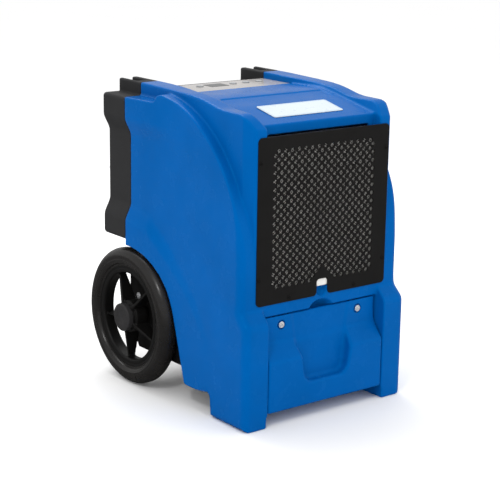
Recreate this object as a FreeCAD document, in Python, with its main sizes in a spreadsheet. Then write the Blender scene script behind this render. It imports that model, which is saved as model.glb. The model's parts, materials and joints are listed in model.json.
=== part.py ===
import FreeCAD, Part
import math
import os
import Sketcher
from FreeCAD import Placement, Rotation, Vector

os.makedirs("parts", exist_ok=True)
doc = FreeCAD.newDocument("dehumidifier")

# The frame: X runs across the machine, the air inlet faces -Y, Z is up from the floor.
# Driving dimensions in millimetres. Each one is a cell of the sheet, named by its alias.
SIZES = {
    # wheels and axle
    "wheel_radius": 152.4,
    "wheel_width": 44,
    "wheel_centre_x": 217,
    "rim_radius": 114,
    "rim_opening": 97,
    "axle_y": 127.6,
    "axle_radius": 8,
    "running_gap": 0.06,
    "bush_radius": 11,
    "hub_radius": 31,
    # moulded shells
    "wall": 5,
    "split_y": 135,
    "back_y": 220,
    "front_y": -255,
    "base_front_y": -280,
    "head_half": 190.5,
    "fender_half": 214,
    "base_half": 217.5,
    "ear_half": 232.5,
    "shoulder_z": 638,
    "rail_top_z": 666,
    "rail_inner": 142.5,
    "rear_bottom_z": 324,
    "skirt_z": 47,
    "leg_inner": 159,
    "leg_back_y": -152,
    "pad_height": 1.5,
    # air inlet
    "inlet_half": 150,
    "inlet_bottom_z": 273,
    "pocket_back_y": -235,
    "grille_half": 173.8,
    "grille_bottom_z": 255.3,
    "grille_top_z": 600.4,
    "sheet_steel": 2,
    "perforation_pitch": 17.4,
    "perforation_radius": 4.5,
    # service cover
    "cover_half": 155,
    "cover_bottom_z": 29,
    "cover_top_z": 227,
    "cover_gap": 1.5,
    # control panel
    "panel_half": 142,
    "panel_front_y": 31,
    "panel_z": 645,
    "panel_thick": 6,
    "button_radius": 8,
    # chassis and machinery
    "chassis_half": 190,
    "chassis_back_y": 178,
    "chassis_bottom_z": 71,
    "chassis_gauge": 2.5,
    "deck_z": 318,
    "coil_half": 138,
    "fan_z": 482,
    "fan_radius": 140,
    "shroud_y": 104,
    "compressor_radius": 60,
    "pipe_radius": 5,
}
FASTENERS = {"small": (4.5, 2.4, 2), "large": (7, 3.2, 3)}


class Size:
    """A number that remembers the sheet expression it comes from."""

    def __init__(self, value, text=None):
        self.value = float(value)
        self.text = text or repr(float(value))

    def __add__(self, other):
        other = size(other)
        return Size(self.value + other.value, f"({self.text} + {other.text})")

    def __sub__(self, other):
        other = size(other)
        return Size(self.value - other.value, f"({self.text} - {other.text})")

    def __mul__(self, other):
        other = size(other)
        return Size(self.value * other.value, f"({self.text} * {other.text})")

    def __neg__(self):
        return Size(-self.value, f"(-{self.text})")

    def __radd__(self, other):
        return size(other) + self

    def __rsub__(self, other):
        return size(other) - self

    def __rmul__(self, other):
        return size(other) * self


def size(number):
    return number if isinstance(number, Size) else Size(number)


class Sheet:
    """The driving dimensions, by name."""

    def __init__(self, sizes):
        self.cells = doc.addObject("Spreadsheet::Sheet", "Sizes")
        for row, (alias, value) in enumerate(sizes.items(), start=1):
            self.cells.set(f"A{row}", alias)
            self.cells.set(f"B{row}", str(value))
            self.cells.setAlias(f"B{row}", alias)
            setattr(self, alias, Size(value, f"Sizes.{alias}"))


S = Sheet(SIZES)
doc.recompute()
nodes = []


def keep(obj, label):
    """Name a finished sub-part; the label is also its file's name."""
    obj.Label = label
    nodes.append(obj)
    return obj


def bind(obj, prop, number):
    obj.setExpression(prop, size(number).text)


def place(obj, x=0, y=0, z=0, turn=None):
    """Put an object at a bound position, turned by a rotation."""
    obj.Placement = Placement(Vector(0, 0, 0), turn or Rotation())
    for letter, number in zip("xyz", (x, y, z)):
        bind(obj, f"Placement.Base.{letter}", number)
    return obj


# ---------------------------------------------------------------- Part primitives

TURN = {"X": Rotation(Vector(0, 1, 0), 90), "Y": Rotation(Vector(1, 0, 0), -90), "Z": Rotation()}


def box(x, y, z):
    """A box from (low, high) pairs along each axis."""
    obj = doc.addObject("Part::Box", "Block")
    for prop, (low, high) in zip(("Length", "Width", "Height"), (x, y, z)):
        bind(obj, prop, high - low if isinstance(high, Size) else size(high) - low)
    return place(obj, x[0], y[0], z[0])


def rod(axis, radius, low, high, centre):
    """A cylinder along an axis from low to high; centre holds the two other coordinates."""
    obj = doc.addObject("Part::Cylinder", "Rod")
    bind(obj, "Radius", radius)
    bind(obj, "Height", size(high) - low)
    where = list(centre)
    where.insert("XYZ".index(axis), low)
    return place(obj, *where, turn=TURN[axis])


def fuse(*parts):
    obj = doc.addObject("Part::MultiFuse", "Union")
    obj.Shapes = list(parts)
    return obj


def cut(base, *tools):
    obj = doc.addObject("Part::Cut", "Difference")
    obj.Base = base
    obj.Tool = tools[0] if len(tools) == 1 else fuse(*tools)
    return obj


def group(*parts):
    """Separate identical solids that share one node."""
    obj = doc.addObject("Part::Compound", "Group")
    obj.Links = list(parts)
    return obj


def rounded(base, radius, test):
    """Round the edges of a part whose middle point passes the test."""
    doc.recompute()
    chosen = [i for i, edge in enumerate(base.Shape.Edges, start=1) if test(edge)]
    obj = doc.addObject("Part::Fillet", "Rounded")
    obj.Base = base
    obj.Edges = [(i, radius, radius) for i in chosen]
    return obj


def runs_along(axis):
    """True for straight edges parallel to an axis."""
    def test(edge):
        if not isinstance(edge.Curve, Part.Line):
            return False
        return abs(edge.Curve.Direction["XYZ".index(axis)]) > 0.999
    return test


def ring(axis, outer, inner, low, high, centre):
    return cut(rod(axis, outer, low, high, centre), rod(axis, inner, low, high, centre))


def screw(kind, axis, face, sign, centre):
    """A pan-head screw: its head stands on face and its shank goes into the part."""
    head_radius, head_height, shank_radius = FASTENERS[kind]
    shank_length = 5 * shank_radius
    top = face + sign * head_height
    tip = face - sign * shank_length
    head = rod(axis, head_radius, *ordered(face, top), centre)
    shank = rod(axis, shank_radius, *ordered(face, tip), centre)
    return fuse(head, shank)


def ordered(a, b):
    """Two positions as a (low, high) pair."""
    return (a, b) if size(a).value < size(b).value else (b, a)


# ---------------------------------------------------------------- PartDesign bodies

NORMAL = {"XY_Plane": 1, "YZ_Plane": 1, "XZ_Plane": -1}


def new_body(name):
    return doc.addObject("PartDesign::Body", name)


def origin_feature(body, role):
    return next(item for item in body.Origin.OriginFeatures if item.Role == role)


def new_sketch(body, role, offset=0, turn=None):
    """A sketch on an origin plane, moved along the plane's own axis by offset."""
    sketch = body.newObject("Sketcher::SketchObject", "Sketch")
    sketch.AttachmentSupport = [(origin_feature(body, role), "")]
    sketch.MapMode = "FlatFace"
    sketch.AttachmentOffset = Placement(Vector(0, 0, 0), turn or Rotation())
    bind(sketch, "AttachmentOffset.Base.z", NORMAL[role] * size(offset))
    return sketch


def pin_point(sketch, geometry, point, u, v):
    """Tie a point of the sketch to bound coordinates."""
    for kind, number in (("DistanceX", size(u)), ("DistanceY", size(v))):
        index = sketch.addConstraint(Sketcher.Constraint(kind, -1, 1, geometry, point, number.value))
        bind(sketch, f"Constraints[{index}]", number)


def draw_circle(sketch, u, v, radius):
    u, v, radius = size(u), size(v), size(radius)
    circle = Part.Circle(Vector(u.value, v.value, 0), Vector(0, 0, 1), radius.value)
    index = sketch.addGeometry(circle, False)
    pin_point(sketch, index, 3, u, v)
    bind(sketch, f"Constraints[{sketch.addConstraint(Sketcher.Constraint('Radius', index, radius.value))}]",
         radius)


def draw_outline(sketch, corners):
    """A closed outline of straight sides; a corner (u, v, r) is rounded by an arc of radius r."""
    count = len(corners)
    points = [Vector(size(c[0]).value, size(c[1]).value, 0) for c in corners]
    radii = [size(c[2]) if len(c) > 2 else None for c in corners]
    ends = []
    for i, point in enumerate(points):
        before = (points[i - 1] - point).normalize()
        after = (points[(i + 1) % count] - point).normalize()
        reach = radii[i].value / math.tan(before.getAngle(after) / 2) if radii[i] else 0
        ends.append((point + before * reach, point + after * reach))
    sides = []
    for i in range(count):
        side = Part.LineSegment(ends[i][1], ends[(i + 1) % count][0])
        sides.append(sketch.addGeometry(side, False))
    for i, point in enumerate(points):
        last, following = sides[i - 1], sides[i]
        if not radii[i]:
            sketch.addConstraint(Sketcher.Constraint("Coincident", last, 2, following, 1))
            pin_point(sketch, following, 1, corners[i][0], corners[i][1])
            continue
        round_corner(sketch, points, ends, i, last, following, radii[i])
        vertex = sketch.addGeometry(Part.Point(point), True)
        pin_point(sketch, vertex, 1, corners[i][0], corners[i][1])
        sketch.addConstraint(Sketcher.Constraint("PointOnObject", vertex, 1, last))
        sketch.addConstraint(Sketcher.Constraint("PointOnObject", vertex, 1, following))


def round_corner(sketch, points, ends, i, last, following, radius):
    """Join two sides of an outline with a tangent arc."""
    start, stop = ends[i]
    bisector = ((start + stop) * 0.5 - points[i]).normalize()
    half_angle = (start - points[i]).getAngle(bisector)
    centre = points[i] + bisector * (radius.value / math.sin(half_angle))
    middle = centre - bisector * radius.value
    anticlockwise = (start - centre).cross(stop - centre).z > 0
    first, second = (1, 2) if anticlockwise else (2, 1)
    arc_ends = (start, stop) if anticlockwise else (stop, start)
    arc = sketch.addGeometry(Part.Arc(arc_ends[0], middle, arc_ends[1]), False)
    sketch.addConstraint(Sketcher.Constraint("Tangent", last, 2, arc, first))
    sketch.addConstraint(Sketcher.Constraint("Tangent", following, 1, arc, second))
    index = sketch.addConstraint(Sketcher.Constraint("Radius", arc, radius.value))
    bind(sketch, f"Constraints[{index}]", radius)


def extrude(body, kind, role, low, high, *profiles):
    """Pad or Pocket profiles between two positions along the plane's axis."""
    forward = (NORMAL[role] > 0) == (kind == "Pad")
    sketch = new_sketch(body, role, low if forward else high)
    for profile in profiles:
        if profile[0] == "circle":
            draw_circle(sketch, *profile[1:])
        else:
            draw_outline(sketch, profile)
    before = body.Shape.Volume if kind == "Pocket" else 0
    feature = body.newObject(f"PartDesign::{kind}", kind)
    feature.Profile = sketch
    bind(feature, "Length", size(high) - low)
    doc.recompute()
    if kind == "Pocket" and body.Shape.Volume > before - 1:
        raise RuntimeError(f"{body.Name}: {feature.Name} cuts nothing")
    return feature


def revolve(body, corners):
    """Turn an outline of (x, radius) corners about the body's X axis."""
    sketch = new_sketch(body, "XY_Plane")
    draw_outline(sketch, corners)
    feature = body.newObject("PartDesign::Revolution", "Revolution")
    feature.Profile = sketch
    feature.ReferenceAxis = (sketch, ["H_Axis"])
    feature.Angle = 360
    doc.recompute()
    return feature


def polar(body, original, role, count):
    """Repeat a feature around one of the body's own axes."""
    pattern = body.newObject("PartDesign::PolarPattern", "Pattern")
    pattern.Originals = [original]
    pattern.Axis = (origin_feature(body, role), [""])
    pattern.Angle = 360
    pattern.Occurrences = count
    body.Tip = pattern
    doc.recompute()
    return pattern


def rectangle(u_low, u_high, v_low, v_high, *radius):
    return [(u_low, v_low, *radius), (u_high, v_low, *radius),
            (u_high, v_high, *radius), (u_low, v_high, *radius)]


def mirrored(corners):
    """A right-hand half outline from bottom to top, completed by its mirror image."""
    return list(corners) + [(-size(c[0]), *c[1:]) for c in reversed(corners)]


# ---------------------------------------------------------------- moulded casing

FOOT_ROUND = 10
ARCH_ROUND = 160
BROW_ROUND = 317


def side_outline(inset, open_back):
    """The fender's side view (y, z), moved inwards by inset; open_back runs past the split."""
    back = S.split_y + open_back
    return [
        (back, S.shoulder_z - inset),
        (39 + inset, S.shoulder_z - inset),
        (31 + inset * 0.8, 652 - inset),
        (20, 656 - inset),
        (S.front_y + inset, 601 - inset, BROW_ROUND - inset),
        (S.front_y + inset, 246 - inset, 8),
        (S.base_front_y + inset, 222 - inset, 12),
        (S.base_front_y + inset, S.pad_height + inset, FOOT_ROUND - 5),
        (S.leg_back_y - inset, S.pad_height + inset, FOOT_ROUND - 5),
    ]


def ear_outline(outer, waist, top):
    """The casing's shoulder, waist and lower ear in the front view (x, z)."""
    return [
        (outer, S.rear_bottom_z),
        (outer, 370),
        (waist, 404),
        (waist, 544),
        (outer, 592),
        (outer, top),
    ]


def front_shell():
    body = new_body("FrontShell")
    fender = S.fender_half
    arch = [(S.leg_back_y + 2, S.skirt_z), (-68, S.skirt_z), (5, 312, ARCH_ROUND), (S.split_y, 312)]
    extrude(body, "Pad", "YZ_Plane", -fender, fender, side_outline(0, 0) + arch)
    head = [(S.split_y, 400), (S.split_y, S.rail_top_z), (40, 665), (-60, 661), (-150, 645),
            (-228, 644), (S.front_y, 613), (S.front_y, 400)]
    extrude(body, "Pad", "YZ_Plane", -S.head_half, S.head_half, head)

    loft = body.newObject("PartDesign::AdditiveLoft", "Ears")
    rear = new_sketch(body, "XZ_Plane", S.split_y)
    draw_outline(rear, mirrored(ear_outline(S.ear_half, S.base_half, S.shoulder_z)))
    front = new_sketch(body, "XZ_Plane", -50)
    draw_outline(front, mirrored(ear_outline(fender - 1, fender - 1, 600)))
    loft.Profile = rear
    loft.Sections = [front]
    loft.Ruled = True
    doc.recompute()

    extrude(body, "Pad", "YZ_Plane", -S.base_half, S.base_half,
            [(-215, 8), (S.base_front_y + 3, 8), (S.base_front_y + 3, 205), (S.front_y + 3, 235),
             (-215, 235)])
    hollow_front_shell(body)
    inlet_pocket(body)
    cover_recess(body)
    return keep(body, "front_shell")


def hollow_front_shell(body):
    """The inside of the shell, one wall thickness in, open at the back and underneath."""
    wall = S.wall
    back = S.split_y + wall
    floor = [(S.leg_back_y - wall, S.skirt_z - 7), (back, S.skirt_z - 7)]
    extrude(body, "Pocket", "YZ_Plane", wall - S.fender_half, S.fender_half - wall,
            side_outline(wall, wall) + floor)
    well = S.panel_front_y - 0.5
    head = [(back, 300), (back, S.panel_z - wall), (well + wall, S.panel_z - wall), (well + wall, 647.5),
            (-60, 648.5), (-138, 634), (S.pocket_back_y + wall, 612), (S.front_y + wall, 600),
            (S.front_y + wall, 300)]
    extrude(body, "Pocket", "YZ_Plane", wall - S.head_half, S.head_half - wall, head)
    channel = [(back, 700), (back, S.panel_z), (well, S.panel_z), (well, 652.5), (-62, 653.5),
               (-138, 640), (S.pocket_back_y, 619), (S.pocket_back_y, 700)]
    extrude(body, "Pocket", "YZ_Plane", -S.rail_inner, S.rail_inner, channel)


def inlet_pocket(body):
    """The slot behind the grille that guides the filter, with a window to the coil."""
    wall = S.wall
    half = S.inlet_half
    bottom = S.inlet_bottom_z
    extrude(body, "Pad", "YZ_Plane", -half - wall, half + wall,
            rectangle(S.front_y + 1, S.pocket_back_y + wall, bottom - wall, 614))
    extrude(body, "Pocket", "YZ_Plane", -half, half,
            rectangle(S.front_y - 1, S.pocket_back_y, bottom, 700))
    extrude(body, "Pocket", "XZ_Plane", S.pocket_back_y - 1, S.pocket_back_y + wall + 1,
            rectangle(15 - half, half - 15, bottom + 12, 600, 8))


def cover_recess(body):
    """The recess and opening that the service cover closes, and the legs beside it."""
    half = S.cover_half + S.cover_gap
    wall = S.wall
    recess_y = S.front_y + 10
    top = S.cover_top_z + S.cover_gap
    extrude(body, "Pad", "XZ_Plane", S.base_front_y + 4, recess_y + wall,
            rectangle(-half - wall, half + wall, 20, top + wall))
    extrude(body, "Pad", "XZ_Plane", S.base_front_y + 4, S.leg_back_y - wall,
            rectangle(S.leg_inner, S.leg_inner + wall, S.pad_height, 100),
            rectangle(-S.leg_inner - wall, -S.leg_inner, S.pad_height, 100))
    extrude(body, "Pad", "XZ_Plane", S.front_y + 1, S.front_y + 12 + wall, rectangle(-37, 37, 226, 250, 8))
    extrude(body, "Pocket", "XZ_Plane", S.base_front_y - 1, recess_y,
            rectangle(-half, half, -1, top))
    extrude(body, "Pocket", "XZ_Plane", S.base_front_y - 1, S.front_y, rectangle(-half, half, top - 1, 252))
    extrude(body, "Pocket", "XZ_Plane", S.base_front_y - 1, S.leg_back_y + 4,
            rectangle(-S.leg_inner, S.leg_inner, -1, S.cover_bottom_z - 3))
    extrude(body, "Pocket", "XZ_Plane", recess_y - 1, recess_y + wall + 1,
            rectangle(15 - half, half - 15, 70, 200, 8))
    extrude(body, "Pocket", "XZ_Plane", S.base_front_y, S.front_y + 12,
            [(-33, 222), (33, 222), (22, 245, 14), (-22, 245, 14)])


def rear_shell():
    body = new_body("RearShell")
    wall = S.wall
    outline = [(S.ear_half, S.rear_bottom_z, 10), (S.ear_half, 370, 12), (S.base_half, 404, 12),
               (S.base_half, 544, 12), (S.ear_half, 592, 12), (S.ear_half, S.shoulder_z, 10),
               (S.head_half, S.shoulder_z), (S.head_half, S.rail_top_z, 8),
               (S.rail_inner, S.rail_top_z, 8), (S.rail_inner, S.shoulder_z)]
    extrude(body, "Pad", "XZ_Plane", S.split_y, S.back_y, mirrored(outline))
    inner = [(S.ear_half - wall, S.rear_bottom_z + wall, 5), (S.ear_half - wall, 368, 12),
             (S.base_half - wall, 402, 12), (S.base_half - wall, 546, 12),
             (S.ear_half - wall, 594, 12), (S.ear_half - wall, S.shoulder_z - wall, 5)]
    extrude(body, "Pocket", "XZ_Plane", S.split_y - 1, S.back_y - wall, mirrored(inner))
    slot_inner = S.rail_inner + 14
    slot_outer = S.head_half - 10
    extrude(body, "Pocket", "XZ_Plane", S.split_y + 25, S.back_y + 1,
            rectangle(slot_inner, slot_outer, 655, 700), rectangle(-slot_outer, -slot_inner, 655, 700))
    extrude(body, "Pocket", "XZ_Plane", S.back_y - wall - 1, S.back_y + 1,
            ("circle", 0, S.fan_z, S.fan_radius - 2))
    return keep(body, "rear_shell")


def service_cover():
    body = new_body("ServiceCover")
    half = S.cover_half
    low, top = S.cover_bottom_z, S.cover_top_z
    plate_front = S.front_y + 2
    block = [(plate_front + 1, low), (S.base_front_y, low, 6), (S.base_front_y, 133, 14),
             (plate_front, 170, 8), (plate_front + 1, 172)]
    extrude(body, "Pad", "XZ_Plane", plate_front, S.front_y + 10, rectangle(-half + 4, half - 4, low, top, 6))
    extrude(body, "Pad", "YZ_Plane", -half, half, block)
    for sign in (-1, 1):
        extrude(body, "Pocket", "XZ_Plane", S.base_front_y + 6, S.front_y + 11,
                rectangle(*ordered(sign * 74, sign * 148), low + 6, 122, 5))
    grip = [(-58, 82, 16), (58, 82, 16), (64, 180), (-64, 180)]
    extrude(body, "Pocket", "XZ_Plane", S.base_front_y - 1, S.front_y - 2, grip)
    extrude(body, "Pocket", "XZ_Plane", S.front_y, S.front_y + 11,
            ("circle", -104, 207, 3), ("circle", 104, 207, 3))
    return keep(body, "service_cover")


def foot_pads():
    """Thin glides set in from the edges of the two feet."""
    pads = [rounded(box((low, low + 24), (-255, -195), (0, S.pad_height)), 8, runs_along("Z"))
            for low in (177, -201)]
    return keep(group(*pads), "foot_pads")


# ---------------------------------------------------------------- air inlet


def front_grille():
    """The perforated steel plate: rows of staggered round holes around a plain badge at the foot."""
    half, low, top = (S.grille_half.value, S.grille_bottom_z.value, S.grille_top_z.value)
    width, height = 2 * half, top - low
    y = S.front_y.value
    outline = rounded_rectangle(-half, half, low, top, 10, y)
    wires = [outline] + [hole_wire(x, z, S.perforation_radius.value, y)
                         for x, z in perforation_places(width, height, low)]
    wires += [hole_wire(x, z, 2.9, y) for x, z in grille_screw_places()]
    outward = Vector(0, -S.sheet_steel.value, 0)
    plate = Part.Face(wires, "Part::FaceMakerBullseye").extrude(outward)
    obj = doc.addObject("Part::Feature", "FrontGrille")
    obj.Shape = plate.cut(Part.Face(tab_notch(low, y)).extrude(outward))
    return keep(obj, "front_grille")


def rounded_rectangle(left, right, low, top, radius, y):
    corners = [(right - radius, top - radius, 0), (left + radius, top - radius, 90),
               (left + radius, low + radius, 180), (right - radius, low + radius, 270)]
    edges = []
    points = []
    for x, z, start in corners:
        arc = [Vector(x + radius * math.cos(math.radians(start + turn)), y,
                      z + radius * math.sin(math.radians(start + turn))) for turn in (0, 45, 90)]
        points.append(arc)
    for i, arc in enumerate(points):
        edges.append(Part.Arc(*arc).toShape())
        edges.append(Part.LineSegment(arc[2], points[(i + 1) % 4][0]).toShape())
    return Part.Wire(edges)


def hole_wire(x, z, radius, y):
    return Part.Wire(Part.makeCircle(radius, Vector(x, y, z), Vector(0, 1, 0)))


def perforation_places(width, height, low):
    """Hole centres of the staggered pattern, leaving a plain chevron above the tab notch."""
    pitch = S.perforation_pitch.value
    rows = int(0.82 * height / (pitch / 2))
    across = 0.40 * width
    for row in range(rows + 1):
        z = low + 0.105 * height + row * pitch / 2
        shift = pitch / 2 if row % 2 else 0
        count = int((across - shift) / pitch)
        for step in range(-count - (1 if shift else 0), count + 1):
            x = step * pitch + shift
            rise = (z - low - 0.105 * height) / (0.085 * height)
            if abs(x) > 0.078 * width * (1 - rise) + 3 or rise > 1:
                yield x, z


def grille_screw_places():
    """Screw centres around the plate's margin, in (x, z)."""
    low, top = S.grille_bottom_z.value, S.grille_top_z.value
    side = S.grille_half.value - 6.5
    height = top - low
    sides = [(sign * side, top - share * height) for sign in (-1, 1) for share in (0.147, 0.84)]
    return sides + [(sign * 88, low + 8.5) for sign in (-1, 1)]


def tab_notch(low, y):
    """The window in the plate's foot that leaves the filter's pull tab in reach; its toes flare."""
    half, top, corner, flare = 15, low + 35, 7, 9
    shift = flare * (1 - math.sqrt(0.5))
    right = [Vector(half - corner, y, top), Vector(half, y, top - corner), Vector(half, y, low + flare),
             Vector(half + flare, y, low), Vector(half + flare, y, low - 1)]
    left = [Vector(-point.x, y, point.z) for point in right]
    edges = [Part.LineSegment(left[0], right[0]), Part.LineSegment(left[4], right[4])]
    for side, points in ((1, right), (-1, left)):
        bend = Vector(side * (half - corner + corner * math.sqrt(0.5)), y,
                      top - corner + corner * math.sqrt(0.5))
        edges += [Part.Arc(points[0], bend, points[1]), Part.LineSegment(points[1], points[2]),
                  Part.Arc(points[2], Vector(side * (half + shift), y, low + shift), points[3]),
                  Part.LineSegment(points[3], points[4])]
    return Part.Wire(Part.__sortEdges__([edge.toShape() for edge in edges]))


def grille_screws():
    face = S.front_y - S.sheet_steel
    return keep(group(*[screw("small", "Y", face, -1, place) for place in grille_screw_places()]),
                "grille_screws")


FILTER_FRONT = -252
FILTER_BACK = -238


def filter_frame():
    """The open frame that carries the mesh and the pad, with its pull tab at the foot."""
    body = new_body("FilterFrame")
    half = S.inlet_half - 2
    low = S.inlet_bottom_z + 1
    top = low + 322
    extrude(body, "Pad", "XZ_Plane", FILTER_FRONT, FILTER_BACK, rectangle(-half, half, low, top, 6))
    extrude(body, "Pocket", "XZ_Plane", FILTER_FRONT - 1, FILTER_BACK + 1,
            rectangle(12 - half, half - 12, low + 12, top - 12, 4))
    extrude(body, "Pocket", "XZ_Plane", FILTER_FRONT - 1, FILTER_FRONT + 3,
            rectangle(8 - half, half - 8, low + 8, top - 8, 4))
    extrude(body, "Pad", "XZ_Plane", FILTER_FRONT - 2.5, FILTER_FRONT,
            rectangle(-14, 14, low + 1, low + 15.5, 5))
    return keep(body, "filter_frame")


def filter_mesh():
    """The expanded-metal sheet that lies in the frame's front rebate."""
    half = S.inlet_half - 2
    low = S.inlet_bottom_z + 1
    return keep(box((9.5 - half, half - 9.5), (FILTER_FRONT + 1.5, FILTER_FRONT + 2.9),
                    (low + 9.5, low + 312.5)), "filter_mesh")


def filter_pad():
    half = S.inlet_half - 2
    low = S.inlet_bottom_z + 1
    return keep(box((13.5 - half, half - 13.5), (FILTER_FRONT + 4, FILTER_BACK - 1),
                    (low + 13.5, low + 308)), "filter_pad")


# ---------------------------------------------------------------- controls


def name_plate():
    """A blank plate on the sloping top; it lies 0.2 mm clear of the moulding."""
    plate = place(rounded(box((0, 184), (0, 64), (0, 1.2)), 5, runs_along("Z")),
                  -92, -203, 627.1, Rotation(Vector(1, 0, 0), 12.2))
    return keep(plate, "name_plate")


BUTTONS = {"power_button": -60, "mode_button": 30, "down_button": 66, "up_button": 102}
BUTTON_Y = 98
BUTTON_GAP = 0.25


def control_panel():
    body = new_body("ControlPanel")
    low, high = S.panel_z, S.panel_z + S.panel_thick
    extrude(body, "Pad", "XY_Plane", low, high,
            rectangle(-S.panel_half, S.panel_half, S.panel_front_y, S.split_y - 0.5, 4))
    holes = [("circle", x, BUTTON_Y, S.button_radius + BUTTON_GAP) for x in BUTTONS.values()]
    extrude(body, "Pocket", "XY_Plane", low - 1, high + 1, rectangle(-40, 8, 80, 116, 3), *holes)
    return keep(body, "control_panel")


def display_window():
    high = S.panel_z + S.panel_thick
    return keep(rounded(box((-39.8, 7.8), (80.2, 115.8), (high - 3, high + 0.4)), 2.6, runs_along("Z")),
                "display_window")


def push_buttons():
    """Round caps that stand 2.4 mm proud and travel into the panel."""
    high = S.panel_z + S.panel_thick
    for name, x in BUTTONS.items():
        cap = rod("Z", S.button_radius, high - 3.5, high + 2.4, (x, BUTTON_Y))
        keep(rounded(cap, 1, lambda edge: edge.BoundBox.ZMin > 650 and edge.Closed), name)


def control_board():
    """The circuit board and its relays, on the underside of the top."""
    board = box((-110, 110), (52, 101), (622, 623.6))
    relays = [box((x, x + 18), (60, 78), (623.6, 636)) for x in (-100, -60, 20, 70)]
    return keep(fuse(board, *relays), "control_board")


def humidity_sensor():
    stem = box((-8, 8), (-228, -226), (605, 611))
    return keep(fuse(stem, box((-6, 6), (-226.5, -220), (603, 611))), "humidity_sensor")


# ---------------------------------------------------------------- chassis, axle and wheels

TRAY_FRONT_Y = -160
DRAIN = (-120, 224)


def bracket_bolt_places():
    """Bolt centres around the axle, in (y, z)."""
    return [(S.axle_y + y, S.wheel_radius + z) for y in (-16, 16) for z in (-37, 37)]


def chassis_pan():
    """A folded sheet-steel tray that carries the machinery and the axle, with a tongue in front."""
    body = new_body("ChassisPan")
    half, low, back, deck = S.chassis_half, S.chassis_bottom_z, S.chassis_back_y, S.deck_z
    gauge = S.chassis_gauge
    extrude(body, "Pad", "YZ_Plane", -half, half,
            [(-40, low), (144, low), (back, 122), (back, deck), (-40, deck)])
    extrude(body, "Pocket", "YZ_Plane", gauge - half, half - gauge,
            [(-41, low + gauge), (143, low + gauge), (back - gauge, 123), (back - gauge, deck + 1),
             (-41, deck + 1)])
    extrude(body, "Pad", "XY_Plane", low, low + gauge, rectangle(-150, 150, TRAY_FRONT_Y, -35))
    bolts = [("circle", *centre, FASTENERS["large"][2]) for centre in bracket_bolt_places()]
    extrude(body, "Pocket", "YZ_Plane", -half - 1, half + 1,
            ("circle", S.axle_y, S.wheel_radius, S.axle_radius + 2), *bolts)
    extrude(body, "Pocket", "XZ_Plane", back - gauge - 1, back + 1, ("circle", *DRAIN, 9))
    return keep(body, "chassis_pan")


def deck_plate():
    """The shelf between the machinery below and the air path above."""
    plate = box((-186, 186), (-95, S.split_y + 35), (S.deck_z, S.deck_z + 2))
    slot = box((-150, -110), (-60, -20), (S.deck_z - 1, S.deck_z + 3))
    return keep(cut(plate, slot), "deck_plate")


def axle_brackets():
    """Flanged bearing blocks on the inside of the two side plates."""
    inner = S.chassis_half - S.chassis_gauge
    y, z = S.axle_y, S.wheel_radius
    blocks = []
    for sign in (-1, 1):
        block_x = ordered(sign * (inner - 22), sign * inner)
        flange_x = ordered(sign * (inner - 4), sign * inner)
        block = rounded(box(block_x, (y - 22, y + 22), (z - 22, z + 22)), 5, runs_along("X"))
        flange = rounded(box(flange_x, (y - 26, y + 26), (z - 47, z + 47)), 8, runs_along("X"))
        bore = rod("X", S.axle_radius, block_x[0] - 1, block_x[1] + 1, (y, z))
        holes = [rod("X", FASTENERS["large"][2], flange_x[0] - 1, flange_x[1] + 1, centre)
                 for centre in bracket_bolt_places()]
        blocks.append(cut(fuse(block, flange), bore, *holes))
    return keep(group(*blocks), "axle_brackets")


def bracket_bolts():
    """The bolts through the side plates into the bearing blocks' flanges."""
    return keep(group(*[screw("large", "X", sign * S.chassis_half, sign, centre)
                        for sign in (-1, 1) for centre in bracket_bolt_places()]), "bracket_bolts")


def axle():
    return keep(rod("X", S.axle_radius, -244, 244, (S.axle_y, S.wheel_radius)), "axle")


def axle_rings(label, outer, spans):
    """Washers or nuts gripping the axle, on both sides of the machine."""
    centre = (S.axle_y, S.wheel_radius)
    rings = [ring("X", outer, S.axle_radius, *ordered(sign * low, sign * high), centre)
             for sign in (-1, 1) for low, high in spans]
    return keep(group(*rings), label)


HUB_BACK = -21
HUB_FRONT = 19.5


def facing(sign):
    """The turn that points a wheel part's own X axis away from the machine."""
    return Rotation() if sign > 0 else Rotation(Vector(0, 0, 1), 180)


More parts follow.
